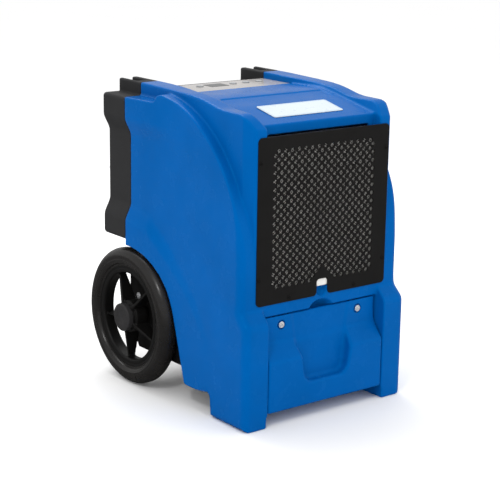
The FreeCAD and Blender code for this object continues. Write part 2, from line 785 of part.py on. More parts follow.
def wheel(side, sign):
    """One wheel, drawn about its own axle line: tyre, five-finned rim, bush and hub cap."""
    centre = (sign * S.wheel_centre_x, S.axle_y, S.wheel_radius)
    half = S.wheel_width * 0.5
    bead = 14
    opening = S.rim_opening

    tyre = new_body(f"Tyre{side}")
    revolve(tyre, [(-bead, S.rim_radius), (bead, S.rim_radius), (half, S.rim_radius + 6, 5),
                   (half, S.wheel_radius, 20), (-half, S.wheel_radius, 20), (-half, S.rim_radius + 6, 5)])
    keep(place(tyre, *centre, turn=facing(sign)), f"tyre_{side}")

    rim = new_body(f"Rim{side}")
    extrude(rim, "Pad", "YZ_Plane", -bead, bead, ("circle", 0, 0, S.rim_radius), ("circle", 0, 0, opening))
    extrude(rim, "Pad", "YZ_Plane", HUB_BACK, HUB_FRONT, ("circle", 0, 0, S.hub_radius))
    fin = [(HUB_BACK + 2, 20), (HUB_FRONT, 20), (HUB_FRONT, 30), (3, opening + 3), (-12, opening + 3),
           (HUB_BACK + 2, 30)]
    fins = extrude(rim, "Pad", "XZ_Plane", -2.5, 2.5, fin)
    polar(rim, fins, "X_Axis", 5)
    extrude(rim, "Pocket", "YZ_Plane", HUB_BACK - 1, HUB_FRONT + 1, ("circle", 0, 0, S.bush_radius))
    parked = Rotation(Vector(1, 0, 0), 29)
    keep(place(rim, *centre, turn=facing(sign) * parked), f"wheel_rim_{side}")

    ends = ordered(sign * (S.wheel_centre_x + HUB_BACK), sign * (S.wheel_centre_x + HUB_FRONT))
    keep(ring("X", S.bush_radius, S.axle_radius + S.running_gap, *ends, centre[1:]), f"wheel_bush_{side}")

    cap = new_body(f"HubCap{side}")
    seat = S.hub_radius
    revolve(cap, [(0, seat - 4), (0, seat), (9, seat, 3), (12.5, seat - 9, 6), (12.5, 0), (9.5, 0),
                  (9.5, seat - 10), (6.5, seat - 4)])
    keep(place(cap, sign * (S.wheel_centre_x + HUB_FRONT), *centre[1:], turn=facing(sign)),
         f"hub_cap_{side}")


# ---------------------------------------------------------------- air path


def coil(label, front, back, low, top, rows):
    """A finned block with tube bends standing out of both ends."""
    half = S.coil_half
    block = box((-half, half), (front, back), (low, top))
    middle = (front + back) / 2
    pitch = (top - low) / rows
    bends = [rod("X", 4.5, -half - 14, half + 14, (middle, low + pitch * (row + 0.5)))
             for row in range(1, rows)]
    return keep(fuse(block, *bends), label)


def fan_shroud():
    """The plate across the casing with the round orifice the fan runs in."""
    body = new_body("FanShroud")
    front = S.shroud_y
    extrude(body, "Pad", "XZ_Plane", front, front + 2.5, rectangle(-205, 205, 333, 629, 12))
    extrude(body, "Pad", "XZ_Plane", front + 2, front + 52, ("circle", 0, S.fan_z, S.fan_radius + 6))
    extrude(body, "Pocket", "XZ_Plane", front - 1, front + 53, ("circle", 0, S.fan_z, S.fan_radius + 4))
    return keep(body, "fan_shroud")


FAN_FRONT = 118
FAN_BACK = 150


def fan_impeller():
    """A hub and five twisted blades, drawn about the fan's own axis along Y."""
    body = new_body("FanImpeller")
    extrude(body, "Pad", "XZ_Plane", 0, FAN_BACK - FAN_FRONT, ("circle", 0, 0, 36))
    middle = (FAN_BACK - FAN_FRONT) / 2
    blade = body.newObject("PartDesign::AdditiveLoft", "Blade")
    sections = []
    for radius, chord, pitch in ((30, 32, 48), (S.fan_radius - 1, 74, 24)):
        sketch = new_sketch(body, "YZ_Plane", radius, Rotation(Vector(0, 0, 1), 90 - pitch))
        draw_outline(sketch, rectangle(-chord / 2, chord / 2, -1.2, 1.2))
        bind(sketch, "AttachmentOffset.Base.x", middle)
        sections.append(sketch)
    blade.Profile = sections[0]
    blade.Sections = sections[1:]
    doc.recompute()
    polar(body, blade, "Y_Axis", 5)
    extrude(body, "Pocket", "XZ_Plane", -1, FAN_BACK - FAN_FRONT - 6, ("circle", 0, 0, 6))
    keep(place(body, 0, FAN_FRONT, S.fan_z), "fan_impeller")


def fan_motor():
    """The motor can with a bore for the turning shaft, held by four arms."""
    body = rod("Y", 45, 34, 104, (0, S.fan_z))
    nose = rod("Y", 20, 104, 114, (0, S.fan_z))
    bore = rod("Y", 6 + S.running_gap, 60, 115, (0, S.fan_z))
    return keep(cut(fuse(body, nose), bore), "fan_motor")


def fan_shaft():
    return keep(rod("Y", 6, 61, FAN_BACK - 6, (0, S.fan_z)), "fan_shaft")


def motor_bracket():
    """A clamp ring round the motor and four arms that bolt to the shroud."""
    front = S.shroud_y
    clamp = ring("Y", 48, 45, 86, front, (0, S.fan_z))
    arms = [box((47, 165), (front - 4, front), (S.fan_z - 8, S.fan_z + 8)),
            box((-165, -47), (front - 4, front), (S.fan_z - 8, S.fan_z + 8)),
            box((-8, 8), (front - 4, front), (S.fan_z - 147, S.fan_z - 47))]
    return keep(fuse(clamp, *arms), "motor_bracket")


GUARD_RINGS = 6
GUARD_TAB = 2.2


def guard_screw_places():
    reach = (S.fan_radius.value + 13) * math.cos(math.radians(45))
    return [(x, S.fan_z + z) for x in (-reach, reach) for z in (-reach, reach)]


def outlet_guard():
    """A wire fan guard: concentric rings on crossed bars, with four pierced tabs."""
    y = S.back_y + 3
    rings = []
    for step in range(1, GUARD_RINGS + 1):
        torus = doc.addObject("Part::Torus", "Ring")
        bind(torus, "Radius1", S.fan_radius * (step / GUARD_RINGS) + 6)
        torus.Radius2 = 1.8
        rings.append(place(torus, 0, y, S.fan_z, TURN["Y"]))
    reach = S.fan_radius + 6
    bars = [rod("X", 1.8, -reach, reach, (y - 1.2, S.fan_z)),
            rod("Z", 1.8, S.fan_z - reach, S.fan_z + reach, (0, y - 1.2))]
    badge = rod("Y", 24, y - 2, y + 2, (0, S.fan_z))
    tabs = [ring("Y", 9, 2.1, S.back_y, S.back_y + GUARD_TAB, centre) for centre in guard_screw_places()]
    return keep(fuse(badge, *rings, *bars, *tabs), "outlet_guard")


def outlet_screws():
    face = S.back_y + GUARD_TAB
    return keep(group(*[screw("small", "Y", face, 1, centre) for centre in guard_screw_places()]),
                "outlet_screws")


# ---------------------------------------------------------------- refrigerant circuit

MACHINE_FLOOR = S.chassis_bottom_z + S.chassis_gauge
COMPRESSOR_FOOT = MACHINE_FLOOR + 8.5
COMPRESSOR_X = 78
COMPRESSOR_Y = 20


def compressor():
    """A hermetic can on a three-footed base."""
    radius = S.compressor_radius
    can = rod("Z", radius, COMPRESSOR_FOOT + 3, 290, (COMPRESSOR_X, COMPRESSOR_Y))
    can = rounded(can, 22, lambda edge: edge.Closed and abs(edge.BoundBox.ZLength) < 1)
    base = rod("Z", radius + 14, COMPRESSOR_FOOT, COMPRESSOR_FOOT + 4, (COMPRESSOR_X, COMPRESSOR_Y))
    terminals = rod("Z", 17, 285, 306, (COMPRESSOR_X, COMPRESSOR_Y - 18))
    return keep(fuse(can, base, terminals), "compressor")


def compressor_mounts():
    """Rubber bushes under the compressor's base."""
    feet = []
    for turn in (30, 150, 270):
        x = COMPRESSOR_X + 62 * math.cos(math.radians(turn))
        y = COMPRESSOR_Y + 62 * math.sin(math.radians(turn))
        feet.append(rod("Z", 9, MACHINE_FLOOR, COMPRESSOR_FOOT, (x, y)))
    return keep(group(*feet), "compressor_mounts")


def accumulator():
    can = rod("Z", 22, 130, 262, (-12, COMPRESSOR_Y))
    return keep(rounded(can, 8, lambda edge: edge.Closed and abs(edge.BoundBox.ZLength) < 1), "accumulator")


def filter_drier():
    can = rod("X", 13, -118, -48, (COMPRESSOR_Y + 44, 262))
    return keep(rounded(can, 5, lambda edge: edge.Closed and abs(edge.BoundBox.XLength) < 1), "filter_drier")


def bypass_valve():
    """The solenoid valve that sends hot gas to the coil for defrosting."""
    block = box((-170, -146), (30, 54), (150, 174))
    return keep(fuse(block, rod("Z", 15, 174, 212, (-158, 42))), "bypass_valve")


def run_capacitor():
    can = rod("X", 22, 60, 160, (110, 226))
    return keep(rounded(can, 3, lambda edge: edge.Closed and abs(edge.BoundBox.XLength) < 1), "run_capacitor")


def pipe(label, radius, points):
    """A bent copper pipe of round section along straight runs with rounded turns."""
    corners = [Vector(*point) for point in points]
    path = bent_wire(corners, 3 * radius.value)
    start = corners[0]
    heading = (corners[1] - corners[0]).normalize()
    profile = Part.Wire(Part.makeCircle(radius.value, start, heading))
    obj = doc.addObject("Part::Feature", "Pipe")
    obj.Shape = path.makePipeShell([profile], True, False)
    return keep(obj, label)


def bent_wire(corners, radius):
    """A wire through corner points whose turns are arcs of one radius."""
    edges = []
    last = corners[0]
    for before, corner, after in zip(corners, corners[1:], corners[2:]):
        to_before = (before - corner).normalize()
        to_after = (after - corner).normalize()
        half_angle = to_before.getAngle(to_after) / 2
        reach = radius / math.tan(half_angle)
        start, stop = corner + to_before * reach, corner + to_after * reach
        bisector = (to_before + to_after).normalize()
        middle = corner + bisector * (radius / math.sin(half_angle) - radius)
        edges.append(Part.LineSegment(last, start).toShape())
        edges.append(Part.Arc(start, middle, stop).toShape())
        last = stop
    edges.append(Part.LineSegment(last, corners[-1]).toShape())
    return Part.Wire(edges)


# ---------------------------------------------------------------- condensate

TANK_X = (-140, 40)
TANK_Y = (-156, -62)
TANK_TOP = 190


def drip_tray():
    """The tray under the coils, with a spout down to the tank."""
    outer = box((-144, 144), (-226, -98), (242, 268))
    inner = box((-141, 141), (-223, -101), (246, 269))
    spout = rod("Z", 9, 200, 243, (-100, -120))
    bore = rod("Z", 6, 199, 247, (-100, -120))
    return keep(cut(fuse(cut(outer, inner), spout), bore), "drip_tray")


def condensate_tank():
    x, y = TANK_X, TANK_Y
    outer = rounded(box(x, y, (MACHINE_FLOOR, TANK_TOP)), 10, runs_along("Z"))
    inner = box((x[0] + 3, x[1] - 3), (y[0] + 3, y[1] - 3), (MACHINE_FLOOR + 3, TANK_TOP + 1))
    return keep(cut(outer, rounded(inner, 7, runs_along("Z"))), "condensate_tank")


def pump_float():
    """A ring float that rises with the water around the pump's stem."""
    return keep(ring("Z", 16, 5.08, 112, 130, (-40, -110)), "pump_float")


def condensate_pump():
    """The pump head over the tank, with the stem that guides the float."""
    head = box((-70, 22), TANK_Y, (TANK_TOP, TANK_TOP + 6))
    motor = rod("Z", 26, TANK_TOP + 6, 236, (-12, -110))
    stem = rod("Z", 5, MACHINE_FLOOR + 5, TANK_TOP + 1, (-40, -110))
    collar = rod("Z", 9, 100, 106, (-40, -110))
    return keep(fuse(head, motor, stem, collar), "condensate_pump")


def drain_fitting():
    """The hose tail through the back of the chassis."""
    back = S.chassis_back_y
    flange = rod("Y", 14, back, back + 5, DRAIN)
    tail = rod("Y", 8, back + 5, back + 30, DRAIN)
    inside = rod("Y", 8, back - 20, back, DRAIN)
    return keep(cut(fuse(flange, tail, inside), rod("Y", 5, back - 21, back + 31, DRAIN)), "drain_fitting")


# ---------------------------------------------------------------- cord and fixings

CORD_X = 176
CORD_RADIUS = 4.2
CORD_HALF = 18.5
CORD_LOW = 396
CORD_HIGH = 560
CORD_TURNS = 5


def cord_hooks():
    """Two pegs on the back wall that the cord is wound on."""
    hooks = []
    for z in (CORD_LOW, CORD_HIGH):
        peg = rod("Y", 14, S.back_y, S.back_y + 46, (CORD_X, z))
        lip = rod("Y", 20, S.back_y + 46, S.back_y + 50, (CORD_X, z))
        hooks.append(fuse(peg, lip))
    return keep(group(*hooks), "cord_hooks")


def cord_turn(y, half):
    """One turn of cord round both pegs, in the plane at y."""
    low, high = CORD_LOW, CORD_HIGH
    left, right = CORD_X - half, CORD_X + half
    corners = [Vector(left, y, low), Vector(left, y, high), Vector(right, y, high), Vector(right, y, low)]
    over = Part.Arc(corners[1], Vector(CORD_X, y, high + half), corners[2])
    under = Part.Arc(corners[3], Vector(CORD_X, y, low - half), corners[0])
    path = Part.Wire([Part.LineSegment(corners[0], corners[1]).toShape(), over.toShape(),
                      Part.LineSegment(corners[2], corners[3]).toShape(), under.toShape()])
    profile = Part.Wire(Part.makeCircle(CORD_RADIUS, corners[0], Vector(0, 0, 1)))
    return path.makePipeShell([profile], True, False)


def power_cord():
    """The cord, wound round the two pegs in an even stack of turns that press together."""
    y = S.back_y.value + CORD_RADIUS + 1
    turns = [cord_turn(y + step * (2 * CORD_RADIUS - 0.2), CORD_HALF) for step in range(CORD_TURNS)]
    obj = doc.addObject("Part::Feature", "PowerCord")
    obj.Shape = turns[0].fuse(turns[1:])
    return keep(obj, "power_cord")


def shell_screws():
    """The screws that draw the back shell onto the front one."""
    places = [(sign * x, z) for sign in (-1, 1) for x, z in ((214, 345), (208.5, 470), (214, 615))]
    return keep(group(*[screw("large", "Y", S.back_y, 1, place) for place in places]), "shell_screws")


def cover_screws():
    face = S.front_y + 2
    return keep(group(*[screw("large", "Y", face, -1, (x, 207)) for x in (-104, 104)]), "cover_screws")


# ---------------------------------------------------------------- the machine

front_shell()
rear_shell()
service_cover()
foot_pads()
front_grille()
grille_screws()
filter_frame()
filter_mesh()
filter_pad()
name_plate()
control_panel()
display_window()
push_buttons()
control_board()
humidity_sensor()
chassis_pan()
deck_plate()
axle_brackets()
bracket_bolts()
axle()
axle_rings("axle_washers", 15, [(S.chassis_half, 195.5), (237, 239)])
axle_rings("axle_nuts", 12, [(239, 243)])
wheel("left", -1)
wheel("right", 1)
coil("evaporator_coil", -222, -180, 246, 594, 14)
coil("condenser_coil", -150, -106, 246, 594, 14)
fan_shroud()
fan_impeller()
fan_motor()
fan_shaft()
motor_bracket()
outlet_guard()
outlet_screws()
compressor()
compressor_mounts()
accumulator()
filter_drier()
bypass_valve()
run_capacitor()
pipe("suction_line", S.pipe_radius, [(-12, 20, 262), (-12, 20, 300), (-130, 20, 300), (-130, -40, 300),
                                     (-130, -40, 345), (-168, -40, 345), (-168, -201, 345),
                                     (-168, -201, 400)])
pipe("discharge_line", S.pipe_radius, [(120, 20, 290), (120, 20, 308), (165, 20, 308), (165, -118, 308),
                                       (165, -118, 380)])
pipe("drain_hose", Size(7), [(-60, -90, TANK_TOP + 6), (-60, -90, 224), (-60, 60, 224), (-120, 60, 224),
                             (-120, 158, 224)])
drip_tray()
condensate_tank()
pump_float()
condensate_pump()
drain_fitting()
cord_hooks()
power_cord()
shell_screws()
cover_screws()

doc.recompute()
for item in doc.Objects:
    if {"Invalid", "Error"} & set(item.State):
        raise RuntimeError(f"{item.Label} did not compute: {item.State}")
for node in nodes:
    if node.Shape.isNull() or not node.Shape.isValid():
        raise RuntimeError(f"{node.Label} has no valid shape")
for node in nodes:
    node.Shape.exportStep(f"parts/{node.Label}.step")
print(len(nodes), "sub-parts written")
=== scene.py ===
import json
import math

import bpy
import numpy as np
import openvdb
from mathutils import Euler, Matrix, Vector


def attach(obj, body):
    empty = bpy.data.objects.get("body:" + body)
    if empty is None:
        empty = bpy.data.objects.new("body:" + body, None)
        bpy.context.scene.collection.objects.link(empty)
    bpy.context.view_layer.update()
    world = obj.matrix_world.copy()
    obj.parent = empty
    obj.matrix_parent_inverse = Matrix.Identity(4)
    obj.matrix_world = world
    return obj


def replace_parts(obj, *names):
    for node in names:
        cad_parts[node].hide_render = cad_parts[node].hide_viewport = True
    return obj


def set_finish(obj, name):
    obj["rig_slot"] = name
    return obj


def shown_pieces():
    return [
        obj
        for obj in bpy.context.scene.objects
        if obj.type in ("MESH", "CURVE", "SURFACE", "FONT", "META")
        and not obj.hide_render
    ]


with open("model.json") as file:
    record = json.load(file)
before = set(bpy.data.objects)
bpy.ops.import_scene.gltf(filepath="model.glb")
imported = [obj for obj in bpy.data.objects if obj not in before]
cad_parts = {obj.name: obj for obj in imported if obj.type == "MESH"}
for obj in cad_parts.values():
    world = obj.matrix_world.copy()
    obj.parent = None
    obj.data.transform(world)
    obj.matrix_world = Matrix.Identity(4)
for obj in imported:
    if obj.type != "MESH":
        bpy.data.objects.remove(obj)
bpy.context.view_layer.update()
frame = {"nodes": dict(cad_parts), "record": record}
nodes = frame["nodes"]

# ------------------------------------------------------------------ distance fields
# The mouldings are built as distance fields in millimetres: negative inside, positive outside.
# A field may be flat along an axis it does not depend on; numpy spreads it when fields meet.


class Grid:
    """Sample points over a box, kept as three thin arrays."""

    def __init__(self, low, high, step):
        self.low, self.step = np.array(low, float), step
        axes = [np.arange(a, b + step, step, dtype=np.float32) for a, b in zip(low, high)]
        self.x = axes[0][:, None, None]
        self.y = axes[1][None, :, None]
        self.z = axes[2][None, None, :]


def both(a, b, r=0.0):
    """Intersection of two solids whose meeting edge is rounded to radius r."""
    if np.isscalar(r) and r == 0:
        return np.maximum(a, b)
    u, v = np.maximum(a + r, 0), np.maximum(b + r, 0)
    return np.minimum(-r, np.maximum(a, b)) + np.sqrt(u * u + v * v)


def either(a, b, r=0.0):
    """Union of two solids whose inner corner is filled to radius r."""
    return -both(-a, -b, r)


def without(a, b, r=0.0):
    """Solid a with solid b taken out, its new edges rounded to radius r."""
    return both(a, -b, r)


def smooth(t):
    """A soft step that rises from 0 to 1 as t does."""
    t = np.clip(t, 0, 1)
    return t * t * (3 - 2 * t)


def rounded_points(corners):
    """The points of a closed outline whose corners (u, v, r) are rounded by arcs of radius r."""
    points = []
    count = len(corners)
    for i, corner in enumerate(corners):
        here = np.array(corner[:2], float)
        radius = corner[2] if len(corner) > 2 else 0
        if radius == 0:
            points.append(here)
            continue
        back = np.array(corners[i - 1][:2], float) - here
        on = np.array(corners[(i + 1) % count][:2], float) - here
        back, on = back / np.linalg.norm(back), on / np.linalg.norm(on)
        half = math.acos(np.clip(back @ on, -1, 1)) / 2
        bisector = (back + on) / np.linalg.norm(back + on)
        centre = here + bisector * radius / math.sin(half)
        start = here + back * radius / math.tan(half)
        sweep = math.pi - 2 * half
        arm, end = start - centre, here + on * radius / math.tan(half) - centre
        side = np.sign(arm[0] * end[1] - arm[1] * end[0])
        steps = max(3, int(sweep * math.sqrt(radius) * 2))
        for k in range(steps + 1):
            a = side * sweep * k / steps
            turn = np.array([[math.cos(a), -math.sin(a)], [math.sin(a), math.cos(a)]])
            points.append(centre + turn @ arm)
    return np.array(points)


def outline(u, v, corners):
    """Signed distance to a closed outline; u and v are grid axes."""
    points = rounded_points(corners)
    best = np.full(np.broadcast(u, v).shape, 1e9, np.float32)
    inside = np.zeros(best.shape, bool)
    for (au, av), (bu, bv) in zip(points, np.roll(points, -1, axis=0)):
        du, dv = bu - au, bv - av
        length = du * du + dv * dv
        if length < 1e-9:
            continue
        t = np.clip(((u - au) * du + (v - av) * dv) / length, 0, 1)
        best = np.minimum(best, (u - au - t * du) ** 2 + (v - av - t * dv) ** 2)
        if dv != 0:
            crosses = ((av > v) != (bv > v)) & (u < du * (v - av) / dv + au)
            inside ^= crosses
    return np.where(inside, -1, 1) * np.sqrt(best)


def block(g, low, high, r=0.0):
    """A box from its lowest to its highest corner with rounded edges."""
    half = [(b - a) / 2 - r for a, b in zip(low, high)]
    mid = [(a + b) / 2 for a, b in zip(low, high)]
    q = [abs(axis - m) - h for axis, m, h in zip((g.x, g.y, g.z), mid, half)]
    outside = np.sqrt(sum(np.maximum(d, 0) ** 2 for d in q))
    return outside + np.minimum(np.maximum(np.maximum(q[0], q[1]), q[2]), 0) - r


def rounds(axis_a, axis_b, centre, radius):
    """An endless round bar across two axes."""
    return np.sqrt((axis_a - centre[0]) ** 2 + (axis_b - centre[1]) ** 2) - radius


def ellipsoid(g, centre, radii):
    """Roughly the distance to an ellipsoid, true to scale along its shortest radius."""
    reach = sum(((axis - c) / r) ** 2 for axis, c, r in zip((g.x, g.y, g.z), centre, radii))
    return (np.sqrt(reach) - 1) * min(radii)


def spacing(fine):
    """How far apart a field's samples stand, in millimetres."""
    return fine


def put(piece, body, node, slot):
    """Ride a piece on a body in place of a CAD node, with its material slot."""
    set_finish(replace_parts(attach(piece, body), node), slot)


def link(name, mesh):
    """A mesh as a named object in the scene."""
    piece = bpy.data.objects.new(name, mesh)
    bpy.context.scene.collection.objects.link(piece)
    return piece


def field_points(grid, field, mirrored):
    """The zero surface of a field, in metres; a mirrored field is sampled for x from 0 up."""
    low = grid.low.copy()
    if mirrored:
        field = np.concatenate([field[:0:-1], field])
        low[0] = -(field.shape[0] // 2) * grid.step
    field = np.ascontiguousarray(field, dtype=np.float32)
    volume = openvdb.FloatGrid(grid.step * 3)
    volume.copyFromArray(field)
    points, quads = volume.convertToQuads(0.0)
    return (points * grid.step + low) * 0.001, quads


def mesh_of(name, points, faces, sharp=None):
    """A smooth-shaded mesh; edges turning by more than sharp radians stay crisp."""
    mesh = bpy.data.meshes.new(name)
    mesh.from_pydata(np.asarray(points).tolist(), [], np.asarray(faces).tolist())
    mesh.shade_smooth()
    if sharp:
        mesh.set_sharp_from_angle(angle=sharp)
    return mesh


def mesh_from_field(name, grid, field, mirrored=True):
    """The zero surface of a field as a named object in the scene."""
    points, quads = field_points(grid, field, mirrored)
    return link(name, mesh_of(name, points, quads))


# ------------------------------------------------------------------ the moulded casing
# Where the shells' planes and edges lie, in millimetres. The CAD model holds the same figures.

SPLIT_Y = 135
BACK_Y = 220
FRONT_Y = -255
BASE_Y = -280
HEAD_HALF = 190.5
FENDER_HALF = 214
EAR_HALF = 232.5
WAIST_HALF = 217.5
SHOULDER_Z = 638
RAIL_Z = 666
RAIL_INNER = 142.5
REAR_BOTTOM_Z = 324
SKIN = 5
FAN_Z = 482
COVER_SCREW_X, COVER_SCREW_Z = 104, 207
OPEN_BACK_Y = 320
BROW = [(135, 402), (60, 388), (10, 350), (-45, 303), (-95, 250), (-150, 180)]


def line_through(axis, points):
    """A smooth height along an axis through a few points."""
    places, heights = zip(*sorted(points))
    fine = np.linspace(places[0], places[-1], 400)
    raw = np.interp(fine, places, heights)
    pad = np.concatenate([np.full(12, raw[0]), raw, np.full(12, raw[-1])])
    soft = np.convolve(pad, np.ones(25) / 25, "valid")
    return np.interp(axis, fine, soft).astype(np.float32)


def side_half(g):
    """How far the fender's side stands from the middle, over the side view."""
    y, z = g.y, g.z
    flare = smooth((y + 60) / 195)
    upper = flare * smooth((z - 553) / 42)
    brow_z = line_through(y, BROW)
    lower = smooth((brow_z + 6 - z) / 42) * (0.25 + 0.75 * smooth((y + 95) / 230))
    lower = lower * smooth((y + 175) / 90)
    base = smooth((275 - z) / 60) * (1 - smooth((y + 190) / 120))
    return (FENDER_HALF + (WAIST_HALF - FENDER_HALF) * np.maximum(flare, base)
            + (EAR_HALF - WAIST_HALF) * np.maximum(upper, lower))


def fender_outline(back, floor):
    """The side view of the fender, leg and wheel arch; back and floor finish its open sides."""
    return [(back, SHOULDER_Z), (40, SHOULDER_Z, 9), (30, 652, 9), (18, 656, 20), (FRONT_Y, 601, 317),
            (FRONT_Y, 247, 14), (BASE_Y, 222, 26), (BASE_Y, 0, 3), (-154, 0, 8)] + floor


ARCH = [(-149, 47, 6), (-68, 47, 10), (5, 312, 160)]
TOP = [(300, 652), (30, 652.5), (-50, 653.5), (-72, 652.5), (-138, 640), (-235, 620), (-300, 606)]
PANEL_FRONT_Y, PANEL_Z = 30.5, 645


def front_solid(g, open_sides):
    """The front shell as a full block; open_sides runs it on past its open back and underside."""
    back = OPEN_BACK_Y if open_sides else SPLIT_Y
    floor = [(-144, 56, 4), (-144, -80), (back, -80)] if open_sides else ARCH + [(SPLIT_Y, 312)]
    profile = outline(g.y, g.z, fender_outline(back, floor))
    edge = 3.5 + 13.5 * smooth((470 - g.z) / 110) * smooth((-100 - g.y) / 60)
    fender = both(profile, g.x - side_half(g), edge)

    rail_top = line_through(g.y, [(330, RAIL_Z), (135, RAIL_Z), (61, 665), (-47, 662), (-90, 658),
                                  (-150, 645), (-228, 644), (-262, 605)])
    head_half = HEAD_HALF + np.minimum(0, (g.y + 227) * (12.5 / 28))
    head = both(g.x - head_half, g.z - rail_top, 4)
    head = both(head, FRONT_Y - g.y, 4)
    head = both(head, 300 - g.z)
    head = both(head, g.y - back)
    return either(fender, head, 0.3 + 3.7 * smooth((g.y - FRONT_Y - 1) / 14))


def channel(g):
    """The hollow between the rails, over the sloping top."""
    surface = line_through(g.y, TOP)
    lean = smooth((60 - g.y) / 120)
    inner = RAIL_INNER + 7 * lean + lean * 0.62 * np.clip(g.z - surface, -5, 30)
    recess = both(both(g.x - 137, g.y + 76, 6), surface - 2 * smooth((g.y + 138) / 50) - g.z, 1)
    return either(both(g.x - inner, surface - g.z, 4), recess)


def front_shell_field(g):
    """The blue front: its block, less the channel, the pockets and the inside one skin in."""
    top_cut = channel(g)
    body = without(front_solid(g, False), top_cut, 3)

    well = block(g, (-143, PANEL_FRONT_Y, PANEL_Z), (143, 400, 760), 1)
    pocket = block(g, (-150, FRONT_Y - 30, 273), (150, -235, 760), 1.5)
    recess = block(g, (-156.5, -340, -60), (156.5, -245, 229.5), 3)
    under = block(g, (-159, -340, -60), (159, -125, 25), 4)
    band = block(g, (-156.5, -340, 150), (156.5, FRONT_Y, 252), 2)
    scoop = ellipsoid(g, (0, FRONT_Y - 8, 224), (33, 32, 22))
    finger = ellipsoid(g, (0, FRONT_Y, 272), (15, 14, 20))
    hollow = without(front_solid(g, True), top_cut) + SKIN
    for hole in (pocket, recess, under, band, scoop, finger, well):
        hollow = without(hollow, hole - SKIN, 2)
    body = without(body, hollow, 0.8)

    body = without(body, well, 0.6)
    body = without(body, pocket, 1.5)
    body = without(body, recess, 1.5)
    body = without(body, band, 1.5)
    body = without(body, under, 4)
    coil_window = block(g, (-135, -260, 285), (135, -215, 600), 4)
    service_opening = block(g, (-141, -260, 70), (141, -230, 200), 6)
    body = without(body, coil_window, 1)
    body = without(body, service_opening, 1)
    body = without(body, scoop, 1.2)
    body = without(body, finger, 1.5)
    return both(body, g.y - SPLIT_Y, 1.8)


def rear_shell_field(g):
    """The grey back: it carries on the front shell's section where they meet."""
    section = Grid((0, SPLIT_Y, g.z.min()), (0, SPLIT_Y, g.z.max()), g.step)
    half = side_half(section)[:, :, :g.z.size]

    def shape(inset):
        """The outer block, drawn in by inset on every side but the split."""
        low = both(both(g.x - half, g.z - SHOULDER_Z, 8), REAR_BOTTOM_Z - g.z, 10) + inset
        return both(low, g.y - (BACK_Y - inset), 5)

    rail = both(both(g.x - HEAD_HALF, g.z - RAIL_Z, 4), RAIL_INNER - g.x, 4)
    rail = both(both(rail, 600 - g.z), g.y - BACK_Y, 4)
    body = either(without(shape(0), shape(SKIN), 0.8), rail, 1)
    body = both(body, SPLIT_Y - g.y, 1.5)
    slot = both(both(abs(g.x - 168.5) - 12, 655 - g.z, 3), SPLIT_Y + 25 - g.y, 3)
    body = without(body, slot, 2.5)
    outlet = rounds(g.x, g.z, (0, FAN_Z), 138)
    return without(body, outlet, 2)


def cover_field(g):
    """The service cover: a flat upper plate over a raised block with a scooped grip."""
    low, top, half, plate = 29, 226.5, 155, -253.5
    side = [(plate + 8, low), (BASE_Y, low, 6), (BASE_Y, 138, 16), (plate, 171, 18), (plate, 260),
            (plate + 8, 260)]
    solid = outline(g.y, g.z, side)
    solid = both(solid, g.x - half + 0.13 * np.clip(g.z - 170, 0, 30), 4.5)
    solid = both(solid, g.z - top, 1.5)
    grip_half = 56 + 0.16 * np.clip(g.z - 82, 0, 200)
    grip = both(g.x - grip_half, 80 - g.z, 20)
    depth = plate - 4.5 + 4.5 * smooth((g.z - 90) / 90)
    solid = without(solid, both(grip, g.y - depth, 9), 6)
    screw = (COVER_SCREW_X, COVER_SCREW_Z)
    solid = without(solid, both(rounds(g.x, g.z, screw, 9.5), g.y - (plate + 1.5), 1), 1)
    moat = abs(rounds(g.x, g.z, screw, 8.4)) - 1.6
    solid = without(solid, both(moat, g.y - (plate + 5), 0.4), 0.4)
    hollow = block(g, (74, BASE_Y + 6, low + 6), (148, plate + 60, 122), 5)
    return without(solid, hollow, 1)


def build_casing():
    """The two shells and the service cover."""
    step = spacing(2.2)
    margin = 8
    right, top = EAR_HALF + margin, RAIL_Z + margin
    g = Grid((0, BASE_Y - margin, -margin), (right, SPLIT_Y + margin, top), step)
    shell = mesh_from_field("front_shell_moulding", g, front_shell_field(g))
    put(shell, "cabinet", "front_shell", "blue_shell")
    g = Grid((0, SPLIT_Y - margin, REAR_BOTTOM_Z - margin), (right, BACK_Y + margin, top), step * 0.8)
    back = mesh_from_field("rear_shell_moulding", g, rear_shell_field(g))
    put(back, "cabinet", "rear_shell", "grey_shell")
    g = Grid((0, BASE_Y - margin, 20), (160 + margin, -236, 236), step * 0.7)
    cover = mesh_from_field("service_cover_moulding", g, cover_field(g))
    put(cover, "cabinet", "service_cover", "blue_shell")


build_casing()

# ------------------------------------------------------------------ lathed and swept shapes


def lathe_points(profile, segments):
    """A closed loop of (x, radius) points in millimetres, turned about the X axis."""
    loop = np.array(profile, float) * 0.001
    turn = np.linspace(0, 2 * math.pi, segments, endpoint=False)
    x = np.repeat(loop[:, 0][None, :], segments, axis=0)
    y = np.sin(turn)[:, None] * loop[:, 1][None, :]
    z = np.cos(turn)[:, None] * loop[:, 1][None, :]
    count = len(loop)
    points = np.stack([x, y, z], axis=-1).reshape(-1, 3)
    i, j = np.meshgrid(np.arange(segments), np.arange(count), indexing="ij")
    following, above = (i + 1) % segments, (j + 1) % count
    faces = np.stack([i * count + j, i * count + above, following * count + above, following * count + j],
                     axis=-1).reshape(-1, 4)
    area = sum(a[0] * b[1] - b[0] * a[1] for a, b in zip(loop, np.roll(loop, -1, axis=0)))
    return points, faces if area < 0 else faces[:, ::-1]


def arc(centre, radius, start, end, steps=8):
    """Points on an arc between two angles in degrees."""
    return [(centre[0] + radius * math.cos(math.radians(a)), centre[1] + radius * math.sin(math.radians(a)))
            for a in np.linspace(start, end, steps)]


